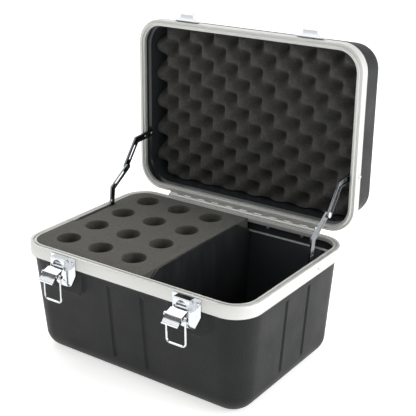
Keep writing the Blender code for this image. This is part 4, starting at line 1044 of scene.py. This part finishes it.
class BuildEggCrate(bpy.types.Operator):
    """Fills the lid with a sheet of egg-crate foam"""

    bl_idname = "mic_case.egg_crate"
    bl_label = "Egg-crate foam"

    def execute(self, context):
        sizes = context.scene.mic_case_sizes
        inside = lid_levels(WALL)
        inset, corner = between(inside, LID_HEIGHT - LID_FILLET)
        inset, corner = max(inset + GAP, RIM_WIDTH + GAP), corner - GAP
        half_x, half_y = HALF_W - inset, HALF_D - inset
        mean = EGG_PEAK + sizes.egg_relief / 2
        columns, rows = spaced(-half_x, half_x, EGG_STEP), spaced(-half_y, half_y, EGG_STEP)

        def rounded(x, y):
            over_x, over_y = abs(x) - (half_x - corner), abs(y) - (half_y - corner)
            if over_x <= 0 or over_y <= 0:
                return x, y
            share = min(over_x, over_y) / max(over_x, over_y)
            stretch = 1 / hypot(1, share)
            return ((half_x - corner + over_x * stretch) * (1 if x > 0 else -1),
                    (half_y - corner + over_y * stretch) * (1 if y > 0 else -1))

        points = [(*rounded(x, y), mean) for y in rows for x in columns]
        width, depth = len(columns), len(rows)
        faces = [(row * width + column, row * width + column + 1, (row + 1) * width + column + 1,
                  (row + 1) * width + column) for row in range(depth - 1) for column in range(width - 1)]
        front = len(points)
        border = list(range(width)) + [row * width + width - 1 for row in range(1, depth)]
        border += [(depth - 1) * width + column for column in range(width - 2, -1, -1)]
        border += [row * width for row in range(depth - 2, 0, -1)]
        level = border
        back = LID_HEIGHT - WALL - GAP
        bend = LID_HEIGHT - LID_FILLET
        steps = [(0.0, bend)]
        for step in range(1, EGG_BACK_STEPS + 1):
            angle = step * pi / 2 / EGG_BACK_STEPS
            steps.append(((LID_FILLET - WALL) * (1 - cos(angle)), bend + (back - bend) * sin(angle)))
        for drawn, z in steps:
            start = len(points)
            for index in border:
                x, y, _ = points[index]
                points.append((x * (1 - drawn / half_x), y * (1 - drawn / half_y), z))
            for place in range(len(border)):
                beside = (place + 1) % len(border)
                faces.append((level[place], level[beside], start + beside, start + place))
            level = list(range(start, start + len(border)))
        faces.append(tuple(level))
        finish = finishes()["egg_foam"]
        item = mesh_piece("egg_crate_foam_sheet", points, faces, finish)
        share = item.data.attributes.new("front", "FLOAT", "POINT")
        share.data.foreach_set("value", [1.0 if index < front else 0.0 for index in range(len(points))])
        run_tree(item, egg_crate_tree(finish), pitch=sizes.egg_pitch, relief=sizes.egg_relief)
        item.data.transform(LID_TURN)
        smoothed(item)
        dress(item, "lid", "egg_crate_foam", "lid_foam")
        return {"FINISHED"}


class BuildDivider(bpy.types.Operator):
    """Stands the black divider between the foam and the open compartment"""

    bl_idname = "mic_case.divider"
    bl_label = "Divider"

    def execute(self, context):
        softened("divider_panel", finishes()["panel"], "base", "black_panel", PANEL_EDGE, PANEL_EDGE_STEPS)
        return {"FINISHED"}


def knuckle_tree(finish):
    """Repeats one rolled knuckle along X and joins the row to its leaf."""
    tree, given, result = node_tree("knuckle_row", (("Count", "NodeSocketInt", 10),
                                                    ("Spacing", "NodeSocketFloat", 0.028),
                                                    ("Start", "NodeSocketFloat", -0.14),
                                                    ("Knuckle", "NodeSocketObject", None)))
    start = add(tree, "ShaderNodeCombineXYZ", {"X": given.outputs["Start"]}).outputs[0]
    step = add(tree, "ShaderNodeCombineXYZ", {"X": given.outputs["Spacing"]}).outputs[0]
    row = add(tree, "GeometryNodeMeshLine", {"Count": given.outputs["Count"], "Start Location": start,
                                             "Offset": step})
    shape = add(tree, "GeometryNodeObjectInfo", {"Object": given.outputs["Knuckle"]})
    placed = add(tree, "GeometryNodeInstanceOnPoints", {"Points": row.outputs["Mesh"],
                                                        "Instance": shape.outputs["Geometry"]})
    both = add(tree, "GeometryNodeJoinGeometry")
    tree.links.new(given.outputs["Geometry"], both.inputs[0])
    tree.links.new(placed.outputs["Instances"], both.inputs[0])
    return finish_tree(tree, both.outputs["Geometry"], finish, result)


class BuildHinge(bpy.types.Operator):
    """Rolls the piano hinge's knuckles on its two leaves"""

    bl_idname = "mic_case.hinge"
    bl_label = "Piano hinge"

    def execute(self, context):
        finish = finishes()["hinge"]
        tree = knuckle_tree(finish)
        pitch = HINGE_LENGTH / HINGE_KNUCKLES
        face = HALF_D + GAP + HINGE_SHEET / 2
        curl = HINGE_Y - HINGE_CURL
        axis_z = -HINGE_DROP
        for side, label, place in ((-1, "base", BASE_PLACE), (1, "lid", LID_TURN)):
            start = axis_z + side * HINGE_FINGER_START
            far = axis_z + side * HINGE_LEAF_REACH
            edge = axis_z + side * HINGE_FLAT_START
            inner, outer = face - HINGE_SHEET / 2, face + HINGE_SHEET / 2
            outline = softened_outline([(inner, far), (outer, far), (outer, edge), (inner, edge)], HINGE_EDGE)
            leaf = prism(f"hinge_leaf_{label}_rolled", outline, "X", -HINGE_LENGTH / 2, HINGE_LENGTH / 2,
                         finish)
            bend = axis_z + side * (HINGE_FINGER_START - HINGE_SHEET / 2)
            path = [(face, start + side * HINGE_SHEET), (face, bend), (curl, bend - side * (curl - face))]
            path += arc((HINGE_Y, axis_z), HINGE_CURL, pi, pi + side * 3 * pi / 2, CURL_STEPS)
            strip = strip_outline(path, HINGE_SHEET)
            knuckle = prism("knuckle", strip, "X", GAP / 2, pitch - GAP / 2, finish)
            first = (side + 1) // 2
            begin = first * pitch - HINGE_LENGTH / 2
            run_tree(leaf, tree, count=HINGE_KNUCKLES // 2, spacing=2 * pitch, start=begin, knuckle=knuckle)
            bpy.data.objects.remove(knuckle)
            leaf.data.transform(place)
            smoothed(leaf)
            dress(leaf, label, "matt_aluminium", f"hinge_leaf_{label}")
        softened("hinge_pin", finish, "base", "matt_aluminium", HINGE_EDGE)
        return {"FINISHED"}


class BuildLatches(bpy.types.Operator):
    """Finishes the two draw latches and their keepers in chrome"""

    bl_idname = "mic_case.latches"
    bl_label = "Draw latches"

    def execute(self, context):
        chrome = finishes()["chrome"]
        soft = context.scene.mic_case_sizes.edge_softness
        for label in ("L", "R"):
            softened_side(label, "bright_chrome", soft,
                          ("latch_plate_{}", chrome, "base"), ("lever_pin_{}", chrome, "base"),
                          ("latch_lever_{}", chrome, "latch_lever_{}"),
                          ("bail_pin_{}", chrome, "latch_lever_{}"),
                          ("latch_bail_{}", chrome, "latch_bail_{}"), ("keeper_{}", chrome, "lid"))
        return {"FINISHED"}


class BuildStays(bpy.types.Operator):
    """Finishes the two folding lid stays"""

    bl_idname = "mic_case.stays"
    bl_label = "Lid stays"

    def execute(self, context):
        coats = finishes()
        steel, chrome = coats["steel"], coats["chrome"]
        soft = context.scene.mic_case_sizes.edge_softness
        for label in ("L", "R"):
            softened_side(label, "plated_steel", soft,
                          ("stay_lower_{}", steel, "stay_lower_{}"),
                          ("stay_upper_{}", steel, "stay_upper_{}"),
                          ("stay_elbow_rivet_{}", chrome, "stay_upper_{}"),
                          ("stay_base_rivet_{}", chrome, "base"), ("stay_lid_rivet_{}", chrome, "lid"))
            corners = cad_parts[f"stay_elbow_rivet_{label}"].bound_box
            low, high = Vector(corners[0]), Vector(corners[6])
            middle = (low + high) / 2
            heads = [((x, middle.y, middle.z), (way, 0, 0)) for x, way in ((low.x, -1), (high.x, 1))]
            rivets(f"stay_elbow_heads_{label}", heads, f"stay_upper_{label}", "plated_steel", chrome,
                   Matrix.Identity(4), ELBOW_HEAD_RADIUS, ELBOW_HEAD_RISE)
        return {"FINISHED"}


class BuildHandle(bpy.types.Operator):
    """Finishes the carrying handle and its brackets"""

    bl_idname = "mic_case.handle"
    bl_label = "Carrying handle"

    def execute(self, context):
        coats = finishes()
        soft = context.scene.mic_case_sizes.edge_softness
        softened("handle_grip", coats["grip"], "handle", "black_grip", soft)
        for label in ("L", "R"):
            softened_side(label, "bright_chrome", soft, ("handle_bracket_{}", coats["chrome"], "lid"),
                          ("handle_pin_{}", coats["chrome"], "lid"))
        return {"FINISHED"}


class BuildRivets(bpy.types.Operator):
    """Sets the rivets of the hinge, the latches, the keepers and the handle's brackets"""

    bl_idname = "mic_case.rivets"
    bl_label = "Rivets"

    def execute(self, context):
        coats = finishes()
        sizes = context.scene.mic_case_sizes
        radius, rise = sizes.rivet_radius, sizes.rivet_rise
        front, back = (0, -1, 0), (0, 1, 0)
        sheet_face = -HALF_D - GAP - SHEET
        leaf_face = HALF_D + GAP + HINGE_SHEET
        inner = HALF_D - COLLAR_INSET - WALL
        bracket_face = LID_HEIGHT + GAP + BRACKET_SHEET
        sides = (-1, 1)

        def row(y, z, way):
            return [((x, y, z), way) for x in HINGE_RIVETS]

        groups = (
            ("latch_plate_rivets", "base", "chrome",
             [((side * LATCH_X + off, sheet_face, z), front) for side in sides for off, z in LATCH_RIVETS]),
            ("keeper_rivets", "lid", "chrome",
             [((side * LATCH_X + off, sheet_face, KEEPER_RIVET_RISE), front)
              for side in sides for off in (-KEEPER_RIVET_OFF, KEEPER_RIVET_OFF)]),
            ("hinge_rivets_base", "base", "hinge", row(leaf_face, -HINGE_DROP - HINGE_RIVET_RISE, back)),
            ("hinge_rivets_lid", "lid", "hinge", row(leaf_face, -HINGE_DROP + HINGE_RIVET_RISE, back)),
            ("hinge_rivet_tails_base", "base", "hinge", row(inner, -HINGE_TAIL_RISE, front)),
            ("hinge_rivet_tails_lid", "lid", "hinge", row(inner, HINGE_TAIL_RISE, front)),
            ("bracket_rivets", "lid", "chrome",
             [((side * HANDLE_HALF_SPAN + off, 0, bracket_face), (0, 0, 1))
              for side in sides for off in (-BRACKET_RIVET_OFF, BRACKET_RIVET_OFF)]),
            ("band_rivets", "base", "hinge",
             [((side * HALF_W, *BAND_RIVET), (side, 0, 0)) for side in sides]))
        slots = {"chrome": "bright_chrome", "hinge": "matt_aluminium"}
        places = {"base": BASE_PLACE, "lid": LID_TURN}
        for name, body, finish, spots in groups:
            rivets(name, spots, body, slots[finish], coats[finish], places[body], radius, rise)
        return {"FINISHED"}


def studio_world():
    """A studio that is white behind the case and dim in front and above, for the chrome to mirror."""
    world = bpy.data.worlds.new("studio")
    world.use_nodes = True
    tree = world.node_tree
    # The backdrop itself is white from every side, and only what falls on the case is graded.
    seen = add(tree, "ShaderNodeLightPath").outputs["Is Camera Ray"]
    way = add(tree, "ShaderNodeTexCoord").outputs["Generated"]
    axes = add(tree, "ShaderNodeSeparateXYZ", {"Vector": way})
    shares = []
    for axis, (start, end), low, high in (("Y", BACKDROP_FADE, ROOM_DIM, BACKDROP_BRIGHT),
                                          ("Z", CEILING_FADE, 1.0, CEILING_SHARE)):
        limits = {"From Min": start, "From Max": end, "To Min": low, "To Max": high}
        fade = add(tree, "ShaderNodeMapRange", {"Value": axes.outputs[axis], **limits},
                   interpolation_type="SMOOTHSTEP")
        shares.append(fade.outputs["Result"])
    graded = maths(tree, "MULTIPLY", *shares)
    strength = add(tree, "ShaderNodeMix", {"Factor": seen, "A": graded, "B": 1.0}, data_type="FLOAT")
    tree.links.new(strength.outputs["Result"], tree.nodes["Background"].inputs["Strength"])
    tree.nodes["Background"].inputs["Color"].default_value = (1, 1, 1, 1)
    return world


class BuildStage(bpy.types.Operator):
    """Sets the pale floor, the soft studio lights and the camera of the photograph"""

    bl_idname = "mic_case.stage"
    bl_label = "Stage"

    def execute(self, context):
        scene = context.scene
        floor_mesh = bpy.data.meshes.new("studio_floor")
        corners = [(x * FLOOR_HALF, y * FLOOR_HALF, 0) for x, y in ((-1, -1), (1, -1), (1, 1), (-1, 1))]
        floor_mesh.from_pydata(corners, [], [(0, 1, 2, 3)])
        floor = shown("studio_floor", floor_mesh)
        floor_mesh.materials.append(studio_floor("white_studio_paper", tuple(scene.mic_case_colours.floor)))
        for name, spot, size, power in STUDIO_LIGHTS:
            lamp = bpy.data.lights.new(name, "AREA")
            lamp.energy = power
            lamp.size = size
            lit = shown(name, lamp)
            lit.location = spot
            lit.rotation_euler = (Vector(LIGHT_AIM) - Vector(spot)).to_track_quat("-Z", "Y").to_euler()
        scene.world = studio_world()
        scene.view_settings.view_transform = "Standard"
        lens = bpy.data.cameras.new("photograph_view")
        lens.lens = CAMERA_LENS
        lens.sensor_width = CAMERA_SENSOR
        lens.clip_start = 0.01
        camera = shown("photograph_view", lens)
        right, up = Vector(CAMERA_RIGHT), Vector(CAMERA_UP)
        turn = Matrix((right, up, right.cross(up).normalized())).transposed().to_4x4()
        camera.matrix_world = Matrix.Translation(CAMERA_PLACE) @ turn
        scene.camera = camera
        return {"FINISHED"}


OPERATORS = (BuildShells, BuildRims, BuildFoamBlock, BuildEggCrate, BuildDivider, BuildHinge, BuildLatches,
             BuildStays, BuildHandle, BuildRivets, BuildStage)


class MicCasePanel(bpy.types.Panel):
    """Lists the case's groups of pieces, its sizes and its colours"""

    bl_idname = "VIEW3D_PT_mic_case"
    bl_label = "Microphone case"
    bl_space_type = "VIEW_3D"
    bl_region_type = "UI"
    bl_category = "Microphone case"

    def draw(self, context):
        for group in (context.scene.mic_case_sizes, context.scene.mic_case_colours):
            box = self.layout.box()
            for name in group.__annotations__:
                box.prop(group, name)
        for operator in OPERATORS:
            self.layout.operator(operator.bl_idname)


CLASSES = (MicCaseColours, MicCaseSizes, *OPERATORS, MicCasePanel)


def register():
    for one in CLASSES:
        bpy.utils.register_class(one)
    bpy.types.Scene.mic_case_colours = bpy.props.PointerProperty(type=MicCaseColours)
    bpy.types.Scene.mic_case_sizes = bpy.props.PointerProperty(type=MicCaseSizes)


def unregister():
    del bpy.types.Scene.mic_case_sizes
    del bpy.types.Scene.mic_case_colours
    for one in reversed(CLASSES):
        bpy.utils.unregister_class(one)


def main():
    register()
    bpy.ops.mic_case.shells()
    bpy.ops.mic_case.rims()
    bpy.ops.mic_case.foam_block()
    bpy.ops.mic_case.egg_crate()
    bpy.ops.mic_case.divider()
    bpy.ops.mic_case.hinge()
    bpy.ops.mic_case.latches()
    bpy.ops.mic_case.stays()
    bpy.ops.mic_case.handle()
    bpy.ops.mic_case.rivets()
    bpy.ops.mic_case.stage()
    bpy.context.view_layer.update()


if __name__ == "__main__":
    main()
